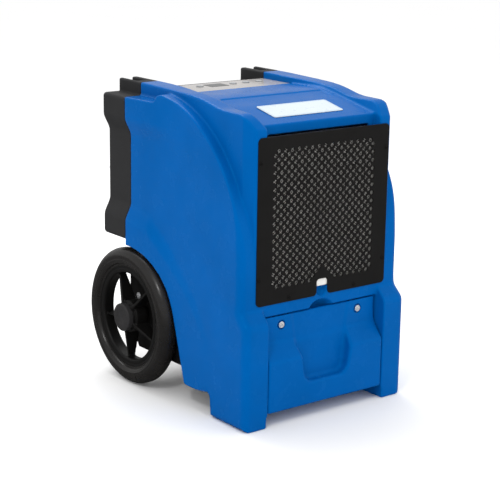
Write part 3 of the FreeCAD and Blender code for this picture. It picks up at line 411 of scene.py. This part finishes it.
def joined(parts):
    """Several (points, faces) pairs as one."""
    all_points, all_faces, offset = [], [], 0
    for points, faces in parts:
        all_points.append(points)
        all_faces.append(np.asarray(faces) + offset)
        offset += len(points)
    return np.concatenate(all_points), np.concatenate(all_faces)


def tube_points(path, section, closed=False, up=(0, 0, 1)):
    """A closed section (u, v) in millimetres swept along a path in millimetres."""
    path = np.asarray(path, float)
    if closed:
        heading = np.roll(path, -1, axis=0) - np.roll(path, 1, axis=0)
    else:
        heading = np.gradient(path, axis=0)
    heading /= np.linalg.norm(heading, axis=1)[:, None]
    side = np.cross(heading, np.array(up, float))
    side /= np.linalg.norm(side, axis=1)[:, None]
    top = np.cross(side, heading)
    section = np.asarray(section, float)
    points = (path[:, None, :] + side[:, None, :] * section[None, :, :1]
              + top[:, None, :] * section[None, :, 1:])
    count, sides = len(path), len(section)
    rows = np.arange(count if closed else count - 1)
    i, j = np.meshgrid(rows, np.arange(sides), indexing="ij")
    following, above = (i + 1) % count, (j + 1) % sides
    faces = np.stack([i * sides + j, i * sides + above, following * sides + above, following * sides + j],
                     axis=-1).reshape(-1, 4)
    return points.reshape(-1, 3) * 0.001, faces


def circle_section(radius, sides=12):
    """A round section for a tube."""
    turn = np.linspace(0, -2 * math.pi, sides, endpoint=False)
    return np.stack([np.cos(turn) * radius, np.sin(turn) * radius], axis=-1)


def moved(points, centre, turn=None):
    """Points in metres turned by a 3 x 3 matrix and moved to a centre in millimetres."""
    if turn is not None:
        points = points @ np.array(turn.to_3x3()).T
    return points + np.array(centre) * 0.001


# ------------------------------------------------------------------ wheels

WHEEL_X, AXLE_Y, AXLE_Z = 217, 127.6, 152.4
OUTWARD = {"left": Matrix.Rotation(math.pi, 3, "Z"), "right": Matrix.Identity(3)}
SIDES = {"left": -1, "right": 1}


def tyre_profile():
    """A rounded tread over full side walls, with a bead groove and two moulded side rings."""
    half = [(14, 113.2), (14.6, 116.5), (17, 117.6), (19.4, 119.2), (20.9, 122), (21.5, 125), (22.0, 125.6),
            (22.0, 127.4), (21.6, 128)]
    half += arc((1.4, 131.8), 20.6, 0, 74, 14)
    half += [(4.2, 152.3), (3.4, 152.0), (2.6, 152.35)]
    return half + [(-x, r) for x, r in reversed(half)]


def rim_field(g):
    """The moulded wheel centre: a barrel, a hub and five fins that lean in towards the barrel."""
    reach = np.sqrt(g.y ** 2 + g.z ** 2)
    turn = np.arctan2(g.y, g.z)
    pitch = 2 * math.pi / 5
    turn = (turn + pitch / 2) % pitch - pitch / 2
    along, across = reach * np.cos(turn), abs(reach * np.sin(turn))
    barrel = both(reach - 114.4, abs(g.x) - 14, 1.2)
    opening = reach - 97 - 1.6 * smooth((abs(g.x) - 9) / 5)
    groove = both(abs(reach - 108) - 1.1, 13 - abs(g.x))
    barrel = without(without(barrel, opening, 2), groove, 0.5)
    fin_shape = outline(g.x, along, [(-19, 12), (19, 12), (19, 32), (4, 100), (-12, 100), (-19, 32)])
    fin = both(across - 2.3 - 0.02 * (100 - along), fin_shape, 1)
    hub = both(reach - 31, abs(g.x + 0.7) - 20, 2)
    collar = both(reach - 36, abs(g.x + 1) - 14, 2)
    solid = either(either(barrel, fin, 3), either(hub, collar, 1.5), 3)
    return without(solid, reach - 11)


def cap_profile():
    """The hub cap: a thin-walled cup whose face is dished in steps."""
    outer = [(0, 27.2), (0, 30.4), (0.8, 31)] + arc((8.6, 27.6), 3.4, 90, 20, 6)
    outer += [(12.2, 26.2), (12.5, 24.8), (12.5, 14.2), (12.1, 13.2), (12.1, 0.01)]
    return outer + [(9.4, 0.01), (9.4, 21), (6.5, 27.2)]


def build_wheels():
    """Both wheels: tyre, moulded centre and hub cap, parked with one fin a little off upright."""
    g = Grid((-25, -120, -120), (24, 120, 120), spacing(1.4))
    rim_points, rim_faces = field_points(g, rim_field(g), False)
    parked = Matrix.Rotation(math.radians(29), 3, "X")
    for side, sign in SIDES.items():
        centre = (sign * WHEEL_X, AXLE_Y, AXLE_Z)
        body = f"wheel_{side}"
        points, faces = lathe_points(tyre_profile(), 160)
        tyre = link(f"tyre_{side}_rubber", mesh_of("tyre", moved(points, centre, OUTWARD[side]), faces, 0.5))
        put(tyre, body, f"tyre_{side}", "tyre")
        points = moved(rim_points, centre, OUTWARD[side] @ parked)
        rim = link(f"wheel_rim_{side}_moulding", mesh_of("rim", points, rim_faces))
        put(rim, body, f"wheel_rim_{side}", "black_plastic")
        points, faces = lathe_points(cap_profile(), 64)
        points = moved(points, (sign * (WHEEL_X + 19.5), AXLE_Y, AXLE_Z), OUTWARD[side])
        cap = link(f"hub_cap_{side}_moulding", mesh_of("cap", points, faces, 0.6))
        put(cap, body, f"hub_cap_{side}", "hub_plastic")


build_wheels()

# ------------------------------------------------------------------ screws


def screw_field(g, radius, height, recess):
    """A domed head on a short shank, with a cross recess; the axis is X and the seat is at 0."""
    reach = np.sqrt(g.y ** 2 + g.z ** 2)
    crown = np.sqrt((g.x - height + 2.1 * radius) ** 2 + reach ** 2) - 2.1 * radius
    head = both(both(reach - radius, crown, 0.5), -g.x, 0.2)
    slot_depth = height - 0.45 * radius - g.x
    arm = np.minimum(abs(g.y), abs(g.z)) - 0.13 * radius
    cross = both(both(arm, reach - recess * radius), slot_depth + 0.25 * reach, 0.1)
    ring = both(abs(reach - 0.72 * radius) - 0.07 * radius, 0.25 * radius - g.x)
    shank = both(reach - 0.42 * radius, abs(g.x + radius) - radius)
    return without(without(either(head, shank), cross, 0.15), ring, 0.15)


def build_screws():
    """Every screw group: its node, material slot, head radius and height, and places."""
    toward = {"front": Matrix.Rotation(-math.pi / 2, 3, "Z"), "back": Matrix.Rotation(math.pi / 2, 3, "Z"),
              "left": Matrix.Rotation(math.pi, 3, "Z"), "right": Matrix.Identity(3)}
    low, top, side = 255.3, 600.4, 167.3
    height = top - low
    grille = [(s * side, -257, top - share * height) for s in (-1, 1) for share in (0.147, 0.84)]
    grille += [(s * 88, -257, low + 8.5) for s in (-1, 1)]
    reach = 153 * math.cos(math.radians(45))
    outlet = [(x, 222.2, FAN_Z + z) for x in (-reach, reach) for z in (-reach, reach)]
    shell = [(s * x, BACK_Y, z) for s in (-1, 1) for x, z in ((214, 345), (208.5, 470), (214, 615))]
    cover = [(s * COVER_SCREW_X, -253, COVER_SCREW_Z) for s in (-1, 1)]
    groups = [("cover_screws", "zinc_steel", 7, 3.2, [(p, "front") for p in cover]),
              ("grille_screws", "black_steel", 4.5, 2.4, [(p, "front") for p in grille]),
              ("outlet_screws", "zinc_steel", 4.5, 2.4, [(p, "back") for p in outlet]),
              ("shell_screws", "zinc_steel", 7, 3.2, [(p, "back") for p in shell]),
              ("bracket_bolts", "zinc_steel", 7, 3.2,
               [((s * 190, AXLE_Y + y, AXLE_Z + z), "left" if s < 0 else "right")
                for s in (-1, 1) for y in (-16, 16) for z in (-37, 37)])]
    for node, slot, radius, high, places in groups:
        g = Grid((-2.2 * radius, -radius - 1, -radius - 1), (high + 1, radius + 1, radius + 1), radius / 14)
        points, faces = field_points(g, screw_field(g, radius, high, 0.62), False)
        parts = []
        for i, (place, way) in enumerate(places):
            roll = Matrix.Rotation(0.7 + 1.9 * i, 3, "X")
            parts.append((moved(points, place, toward[way] @ roll), faces))
        piece = link(f"{node}_heads", mesh_of(node, *joined(parts)))
        put(piece, "cabinet", node, slot)


build_screws()

# ------------------------------------------------------------------ inlet filter

FILTER_HALF = 148
FILTER_LOW = 274
FILTER_FRONT = -252


def build_filter_mesh():
    """Expanded metal: rows of zigzag strands that meet at their bonds."""
    long_way, short_way = 7.5, 5.7
    half = FILTER_HALF - 9.5
    low, high = FILTER_LOW + 9.5, FILTER_LOW + 312.5
    steps = int(2 * half / (long_way / 2))
    rows = int((high - low) / (short_way / 2)) - 1
    strand = [(0.7, 0.12), (-0.45, 0.62), (-0.7, -0.12), (0.45, -0.62)]
    y = FILTER_FRONT + 2.2
    parts = []
    for row in range(rows):
        middle = low + short_way / 2 * (row + 1)
        x = -half + np.arange(steps + 1) * long_way / 2
        wave = np.where((np.arange(steps + 1) + row) % 2 == 0, 1, -1) * short_way / 4
        fine = np.linspace(0, steps, steps * 2 + 1)
        path = np.stack([np.interp(fine, np.arange(steps + 1), x), np.full(len(fine), y),
                         middle + np.interp(fine, np.arange(steps + 1), wave)], axis=-1)
        points, faces = tube_points(path, strand, up=(0, -1, 0))
        last = len(points) - 4
        caps = np.array([[3, 2, 1, 0], [last, last + 1, last + 2, last + 3]])
        parts.append((points, np.concatenate([faces, caps])))
    mesh = mesh_of("filter_mesh", *joined(parts), sharp=0.5)
    piece = link("filter_mesh_strands", mesh)
    put(piece, "filter", "filter_mesh", "mesh_metal")


def build_filter_pad():
    """Open-cell foam, crowned a little and tufted all over."""
    g = Grid((0, -250, FILTER_LOW + 10), (FILTER_HALF - 10, -235, FILTER_LOW + 312), spacing(1.1))
    lumps = (np.sin(g.x * 0.9 + 2 * np.sin(g.z * 0.21)) * np.sin(g.z * 0.83 + 1.7 * np.sin(g.x * 0.17))
             + 0.6 * np.sin(g.x * 2.1 + g.z * 1.3) * np.sin(g.z * 1.9 - g.x * 0.7)) * 0.35
    crown = 1.2 * smooth((FILTER_HALF - 13.5 - g.x) / 40) * smooth((g.z - FILTER_LOW - 13.5) / 40)
    crown = crown * smooth((FILTER_LOW + 308 - g.z) / 40)
    pad = block(g, (-200, -246.6, FILTER_LOW + 13.5), (FILTER_HALF - 13.5, -239.2, FILTER_LOW + 308), 2.5)
    pad = pad + np.where(g.y < -243, lumps - crown * 0.9, 0)
    piece = mesh_from_field("filter_pad_foam", g, pad)
    put(piece, "filter", "filter_pad", "filter_foam")


build_filter_mesh()
build_filter_pad()

# ------------------------------------------------------------------ cord

CORD_X, CORD_LOW_Z, CORD_HIGH_Z = 176, 396, 560


def build_cord():
    """The cord wound in one length round its two pegs; its ends are plain."""
    pitch, radius, half = 8.2, 4.1, 18.6
    turns, sides = 5, 14
    path = []
    straight = CORD_HIGH_Z - CORD_LOW_Z
    loop = 2 * straight + 2 * math.pi * half
    for s in np.arange(0, loop * turns, 6.0):
        part = s % loop
        y = BACK_Y + 5.2 + pitch * s / loop * 0.985
        wander = 0.5 * math.sin(s * 0.013)
        if part < straight:
            x, z = CORD_X - half - wander, CORD_LOW_Z + part
        elif part < straight + math.pi * half:
            a = (part - straight) / half
            x, z = CORD_X - half * math.cos(a), CORD_HIGH_Z + half * math.sin(a)
        elif part < 2 * straight + math.pi * half:
            x, z = CORD_X + half + wander, CORD_HIGH_Z - (part - straight - math.pi * half)
        else:
            a = (part - 2 * straight - math.pi * half) / half
            x, z = CORD_X + half * math.cos(a), CORD_LOW_Z - half * math.sin(a)
        path.append((x, y, z))
    points, faces = tube_points(path, circle_section(radius, sides), up=(0, 1, 0))
    mesh = bpy.data.meshes.new("cord")
    last = len(points) - sides
    ends = [list(range(sides))[::-1], list(range(last, last + sides))]
    mesh.from_pydata(points.tolist(), [], faces.tolist() + ends)
    mesh.shade_smooth()
    piece = link("power_cord_winding", mesh)
    put(piece, "cabinet", "power_cord", "cord_black")


build_cord()

# ------------------------------------------------------------------ materials


class Nodes:
    """A material's node tree, built from short calls; coordinates are metres of the object."""

    def __init__(self, name):
        self.material = bpy.data.materials.new(name)
        self.material.use_nodes = True
        self.tree = self.material.node_tree
        self.shader = self.tree.nodes["Principled BSDF"]
        self.place = self.tree.nodes.new("ShaderNodeTexCoord").outputs["Object"]

    def add(self, kind, links, **settings):
        """A node whose inputs are set to values or joined to sockets."""
        node = self.tree.nodes.new(kind)
        for key, value in settings.items():
            setattr(node, key, value)
        for socket, value in links.items():
            if isinstance(value, bpy.types.NodeSocket):
                self.tree.links.new(value, node.inputs[socket])
            else:
                node.inputs[socket].default_value = value
        return node

    def maths(self, operation, *values):
        """One step of arithmetic on values or sockets."""
        return self.add("ShaderNodeMath", dict(enumerate(values)), operation=operation).outputs[0]

    def stretched(self, scale):
        """The object's coordinates, scaled along each axis."""
        return self.add("ShaderNodeMapping", {"Vector": self.place, "Scale": scale}).outputs[0]

    def noise(self, size_mm, detail=3, rough=0.55, place=None):
        """Cloudy noise whose lumps are about size_mm across."""
        return self.add("ShaderNodeTexNoise", {"Vector": place or self.place, "Scale": 600 / size_mm,
                                               "Detail": detail, "Roughness": rough}).outputs[0]

    def cells(self, size_mm, feature="F1", output=0):
        """Scattered cells about size_mm across."""
        return self.add("ShaderNodeTexVoronoi", {"Vector": self.place, "Scale": 1000 / size_mm},
                        feature=feature).outputs[output]

    def waves(self, size_mm, axis, twist=0.0):
        """Even lines across an axis, size_mm apart."""
        return self.add("ShaderNodeTexWave", {"Vector": self.place, "Scale": 314.16 / size_mm,
                                              "Distortion": twist}, bands_direction=axis).outputs[1]

    def spread(self, value, low, high, from_low=0.3, from_high=0.7):
        """A value from one range mapped to another."""
        return self.add("ShaderNodeMapRange", {"Value": value, "From Min": from_low, "From Max": from_high,
                                               "To Min": low, "To Max": high}).outputs[0]

    def blend(self, factor, a, b):
        """A colour between two colours."""
        node = self.add("ShaderNodeMix", {"Factor": factor}, data_type="RGBA")
        for socket, colour in ((6, a), (7, b)):
            if isinstance(colour, bpy.types.NodeSocket):
                self.tree.links.new(colour, node.inputs[socket])
            else:
                node.inputs[socket].default_value = (*colour, 1)
        return node.outputs[2]

    def edges(self, low=0.52, high=0.6):
        """One along outer edges, from how the surface points outwards."""
        sharp = self.add("ShaderNodeNewGeometry", {}).outputs["Pointiness"]
        return self.spread(sharp, 0, 1, low, high)

    def bumps(self, *layers):
        """Relief from (height, depth in mm) pairs, one over the other."""
        normal = None
        for height, depth in layers:
            links = {"Height": height, "Strength": 1.0, "Distance": depth * 0.001}
            if normal:
                links["Normal"] = normal
            normal = self.add("ShaderNodeBump", links).outputs[0]
        self.tree.links.new(normal, self.shader.inputs["Normal"])

    def finish(self, colour, rough, metal=0.0, specular=0.5, **more):
        """The finished material; further shader inputs are named with underscores for spaces."""
        inputs = {"Base Color": colour, "Roughness": rough, "Metallic": metal, "Specular IOR Level": specular}
        inputs.update({key.replace("_", " "): value for key, value in more.items()})
        for key, value in inputs.items():
            if isinstance(value, bpy.types.NodeSocket):
                self.tree.links.new(value, self.shader.inputs[key])
            elif key == "Base Color":
                self.shader.inputs[key].default_value = (*value, 1)
            else:
                self.shader.inputs[key].default_value = value
        return self.material


def tones(colour, low=0.86, high=1.1):
    """A darker and a lighter tone of a colour."""
    return tuple(c * low for c in colour), tuple(min(1, c * high) for c in colour)


def moulded(name, colour, rough, grain=0.5, depth=0.05, specular=0.5, wear=0.25, tint=(1, 1, 1), ior=1.5):
    """Moulded plastic: faint mottling, a waxy long wave, a fine grain and paler rubbed edges."""
    n = Nodes(name)
    dark, light = tones(colour, 0.94, 1.05)
    tone = n.blend(n.spread(n.noise(70), 0, 1), dark, light)
    pale = tuple(min(1, c * 1.5 + 0.015) for c in colour)
    worn = n.maths("MULTIPLY", n.edges(), n.spread(n.noise(9), 0, wear))
    n.bumps((n.noise(38, 2), depth * 5), (n.noise(grain * 4, 2), depth), (n.noise(grain, 2), depth * 0.35))
    return n.finish(n.blend(worn, tone, pale), n.spread(n.noise(24), rough - 0.05, rough + 0.07),
                    specular=specular, IOR=ior, Specular_Tint=(*tint, 1))


def coated(name, colour, rough, specular=0.3):
    """Powder-coated steel with its tight orange-peel texture."""
    n = Nodes(name)
    dark, light = tones(colour, 0.8, 1.2)
    n.bumps((n.noise(1.4, 2), 0.05), (n.noise(14, 2), 0.05))
    return n.finish(n.blend(n.noise(30), dark, light), n.spread(n.noise(1.6, 2), rough - 0.06, rough + 0.08),
                    specular=specular)


def plated(name, colour, rough, brush=(1, 1, 30)):
    """Bright metal with fine drawn lines and slight stains."""
    n = Nodes(name)
    dark, light = tones(colour, 0.78, 1.08)
    lines = n.noise(9, 4, 0.6, n.stretched(brush))
    n.bumps((lines, 0.02), (n.noise(2, 2), 0.015))
    return n.finish(n.blend(n.noise(12), dark, light), n.spread(lines, rough - 0.08, rough + 0.12),
                    metal=0.45)


def rubbery(name, colour, rough, grain=0.4, depth=0.03, specular=0.5, dust=0.06):
    """Rubber: a satin black with a dry bloom and a fine grain."""
    n = Nodes(name)
    dark, light = tones(colour, 0.75, 1.25)
    tone = n.blend(n.noise(26), dark, light)
    bloom = n.spread(n.noise(45, 5), 0, dust, 0.45, 0.75)
    n.bumps((n.noise(18, 2), depth * 3), (n.noise(grain, 2), depth))
    return n.finish(n.blend(bloom, tone, (0.35, 0.33, 0.3)), n.spread(n.noise(15), rough - 0.06, rough + 0.1),
                    specular=specular)


def expanded_metal():
    """Bright stretched sheet with a dull grain."""
    n = Nodes("expanded_metal")
    n.bumps((n.noise(1.2, 2), 0.04))
    return n.finish(n.blend(n.noise(20), (0.72, 0.70, 0.67), (0.9, 0.88, 0.85)),
                    n.spread(n.noise(3), 0.32, 0.55), metal=0.1)


def foam():
    """Black foam with open pores, coloured with painted shade towards the middle of each pore."""
    n = Nodes("open_cell_foam")
    pores = n.cells(1.3)
    n.bumps((pores, 0.9), (n.noise(6), 0.5))
    # painted shade: each pore is coloured darker towards its middle, where its hollow lies
    shade = n.blend(n.spread(pores, 0, 1, 0.1, 0.6), (0.002, 0.002, 0.002), (0.012, 0.012, 0.012))
    return n.finish(shade, 0.95, specular=0.1)


def blank_label():
    """A plain off-white plate with a printed border line."""
    n = Nodes("blank_label")
    box = n.tree.nodes.new("ShaderNodeTexCoord").outputs["Generated"]
    split = n.add("ShaderNodeSeparateXYZ", {0: box})
    width, height = 184, 64
    reach = []
    for output, size in ((0, width), (1, height)):
        away = n.maths("ABSOLUTE", n.maths("SUBTRACT", split.outputs[output], 0.5))
        reach.append(n.maths("MULTIPLY_ADD", away, size, -size / 2))
    border_inset, border_half = 3.5, 0.6
    line = n.maths("COMPARE", n.maths("MAXIMUM", *reach), -border_inset, border_half)
    n.bumps((n.noise(3, 2), 0.02))
    paper = n.blend(n.noise(40), (0.56, 0.63, 0.68), (0.62, 0.69, 0.74))
    return n.finish(n.blend(line, paper, (0.30, 0.42, 0.55)), n.spread(n.noise(10), 0.25, 0.36), specular=0.3)


def panel_film():
    """The glossy printed film over the control panel."""
    n = Nodes("panel_film")
    n.bumps((n.noise(0.7, 2), 0.012), (n.noise(60, 2), 0.25))
    return n.finish(n.blend(n.noise(50), (0.36, 0.34, 0.33), (0.44, 0.42, 0.41)),
                    n.spread(n.noise(20), 0.2, 0.3), Coat_Weight=0.4, Coat_Roughness=0.08)


def display_glass():
    """Dark glass with faint rows behind it."""
    n = Nodes("display_glass")
    rows = n.waves(1.0, "Y")
    n.bumps((n.noise(30, 2), 0.03))
    return n.finish(n.blend(n.spread(rows, 0, 0.4, 0.2, 0.8), (0.006, 0.008, 0.01), (0.014, 0.018, 0.02)),
                    n.spread(n.noise(12), 0.06, 0.12))


def circuit_board():
    """Green board with paler tracks."""
    n = Nodes("circuit_board")
    tracks = n.add("ShaderNodeTexBrick", {
        "Vector": n.stretched((160, 160, 160)), "Color1": (0.01, 0.11, 0.03, 1),
        "Color2": (0.015, 0.16, 0.05, 1), "Mortar": (0.10, 0.20, 0.06, 1), "Mortar Size": 0.03, "Scale": 1.0})
    n.bumps((tracks.outputs[1], 0.05), (n.noise(2), 0.03))
    return n.finish(tracks.outputs[0], 0.38)


def coil_fins():
    """Close metal fins with painted shade in the gaps between them."""
    n = Nodes("coil_fins")
    lines = n.waves(2.0, "X")
    n.bumps((lines, 0.7), (n.noise(5), 0.1))
    # painted shade: the dark bands between the pale fins stand for the shadow in the gaps between them
    return n.finish(n.blend(n.spread(lines, 0, 1, 0.1, 0.7), (0.08, 0.08, 0.085), (0.72, 0.73, 0.75)),
                    n.spread(n.noise(8), 0.28, 0.45), metal=0.9)


def galvanised():
    """Zinc-coated sheet with its spangle."""
    n = Nodes("galvanised_sheet")
    spangle = n.cells(9, output=1)
    n.bumps((n.noise(3), 0.03))
    return n.finish(n.blend(spangle, (0.42, 0.43, 0.44), (0.58, 0.59, 0.6)), n.spread(n.noise(9), 0.3, 0.5),
                    metal=0.9)


def copper():
    """Copper tube, tarnished in patches."""
    n = Nodes("copper_tube")
    tarnish = n.spread(n.noise(28, 5), 0, 1, 0.4, 0.7)
    n.bumps((n.noise(2, 3), 0.03))
    return n.finish(n.blend(tarnish, (0.72, 0.36, 0.2), (0.36, 0.17, 0.09)), n.spread(n.noise(7), 0.2, 0.42),
                    metal=1.0)


def cloudy_tank():
    """Milky plastic that lets a little light in."""
    n = Nodes("tank_plastic")
    n.bumps((n.noise(22, 2), 0.3), (n.noise(1), 0.02))
    return n.finish(n.blend(n.noise(60), (0.55, 0.55, 0.52), (0.66, 0.66, 0.62)),
                    n.spread(n.noise(14), 0.3, 0.45), Transmission_Weight=0.15)


def make_materials():
    """One finished material for each of the record's slots."""
    return {
        "blue_shell": moulded("blue_polyethylene", (0.0, 0.096, 0.36), 0.24, 0.7, 0.015, 0.24, 0.1,
                              (0.02, 0.5, 1), 1.33),
        "grey_shell": moulded("grey_polyethylene", (0.026, 0.026, 0.027), 0.6, 0.6, 0.06, 0.10, 0.3),
        "black_steel": coated("black_powder_coat", (0.009, 0.0085, 0.0082), 0.5, 0.16),
        "black_plastic": moulded("black_moulding", (0.0055, 0.0052, 0.005), 0.42, 0.5, 0.03, 0.22, 0.1),
        "hub_plastic": moulded("hub_cap_moulding", (0.022, 0.021, 0.022), 0.5, 0.5, 0.05, 0.3, 0.2),
        "tyre": rubbery("tyre_rubber", (0.009, 0.008, 0.0075), 0.26, 0.4, 0.015, 0.45, 0.01),
        "zinc_steel": plated("zinc_plate", (0.72, 0.73, 0.75), 0.28),
        "mesh_metal": expanded_metal(),
        "filter_plastic": moulded("filter_frame_white", (0.74, 0.73, 0.7), 0.45, 0.5, 0.04, 0.4, 0.1),
        "filter_foam": foam(),
        "plate_white": blank_label(),
        "panel_film": panel_film(),
        "display": display_glass(),
        "button_grey": rubbery("grey_key", (0.32, 0.33, 0.34), 0.5, 0.3, 0.02, 0.4, 0.02),
        "board": circuit_board(),
        "galvanised": galvanised(),
        "fins": coil_fins(),
        "copper": copper(),
        "compressor_black": coated("black_enamel", (0.012, 0.012, 0.013), 0.25, 0.5),
        "rubber": rubbery("black_rubber", (0.012, 0.012, 0.012), 0.6, 0.5, 0.05, 0.3, 0.05),
        "tank_plastic": cloudy_tank(),
        "pump_grey": moulded("pump_housing", (0.12, 0.125, 0.13), 0.5),
        "float_yellow": moulded("float_foam", (0.7, 0.45, 0.06), 0.75, 1.2, 0.2, 0.2),
        "cord_black": rubbery("cord_sheath", (0.011, 0.011, 0.011), 0.42, 0.6, 0.04, 0.35, 0.03),
        "nylon": moulded("natural_nylon", (0.62, 0.6, 0.54), 0.5),
    }


def dress_everything():
    """Give every CAD node and every new piece the material of its slot."""
    materials = make_materials()
    slot_of = {entry["node"]: entry["material_slot"] for entry in frame["record"]["subparts"]}
    for node, piece in nodes.items():
        wanted = materials[slot_of[node]]
        for holder in piece.material_slots:
            holder.material = wanted
        if not piece.material_slots:
            piece.data.materials.append(wanted)
    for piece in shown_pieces():
        if piece.name not in nodes and piece.type == "MESH":
            piece.data.materials.append(materials[piece["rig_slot"]])


dress_everything()

# ------------------------------------------------------------------ floor, light and camera


def stage_floor():
    """A wide pale floor, darker where surfaces mirror it."""
    mesh = bpy.data.meshes.new("floor")
    far = 20
    mesh.from_pydata([(-far, -far, 0), (far, -far, 0), (far, far, 0), (-far, far, 0)], [], [(0, 1, 2, 3)])
    floor = link("floor", mesh)
    n = Nodes("studio_floor")
    mirrored = n.add("ShaderNodeLightPath", {}).outputs["Is Glossy Ray"]
    pale = n.blend(n.noise(400), (0.96, 0.96, 0.96), (0.98, 0.98, 0.98))
    mesh.materials.append(n.finish(n.blend(mirrored, pale, (0.12, 0.12, 0.12)), 0.8, specular=0.1))


def studio_world():
    """White to the eye and for soft light, darker where surfaces mirror it."""
    world = bpy.data.worlds.new("world")
    world.use_nodes = True
    tree = world.node_tree
    paths = tree.nodes.new("ShaderNodeLightPath")
    mix = tree.nodes.new("ShaderNodeMix")
    mix.data_type = "FLOAT"
    mix.inputs["A"].default_value = 1.05
    mix.inputs["B"].default_value = 0.62
    tree.links.new(paths.outputs["Is Glossy Ray"], mix.inputs["Factor"])
    seen = tree.nodes.new("ShaderNodeMix")
    seen.data_type = "FLOAT"
    seen.inputs["B"].default_value = 1.0
    tree.links.new(paths.outputs["Is Camera Ray"], seen.inputs["Factor"])
    tree.links.new(mix.outputs[0], seen.inputs["A"])
    tree.links.new(seen.outputs[0], tree.nodes["Background"].inputs["Strength"])
    tree.nodes["Background"].inputs["Color"].default_value = (1, 1, 1, 1)
    bpy.context.scene.world = world


def soft_light(name, place, size, power, mirrored=True, target=(0, 0, 0.35)):
    """A square lamp aimed at a target; mirrored lets surfaces show its reflection."""
    light = bpy.data.objects.new(name, bpy.data.lights.new(name, "AREA"))
    bpy.context.scene.collection.objects.link(light)
    light.location = place
    light.rotation_euler = (Vector(target) - light.location).to_track_quat("-Z", "Y").to_euler()
    light.data.size = size
    light.data.energy = power
    light.visible_glossy = mirrored


CAMERA_PLACE = (-1.9401, -2.4993, 1.1061)
CAMERA_DEGREES = (75.646, -0.879, -37.72)
CAMERA_LENS, CAMERA_SENSOR = 106.51, 36


def add_camera():
    """The view from the left front, a little above the machine."""
    camera = bpy.data.objects.new("camera", bpy.data.cameras.new("camera"))
    bpy.context.scene.collection.objects.link(camera)
    turn = Euler([math.radians(angle) for angle in CAMERA_DEGREES]).to_matrix().to_4x4()
    camera.matrix_world = Matrix.Translation(CAMERA_PLACE) @ turn
    camera.data.sensor_width = CAMERA_SENSOR
    camera.data.lens = CAMERA_LENS
    bpy.context.scene.camera = camera


stage_floor()
studio_world()
soft_light("key", (-2.2, -1.6, 2.8), 0.5, 22)
soft_light("fill", (1.8, -3.0, 1.8), 2.0, 10, False)
soft_light("top", (0.2, 1.2, 2.6), 1.8, 34)
add_camera()
bpy.context.scene.view_settings.view_transform = "Standard"
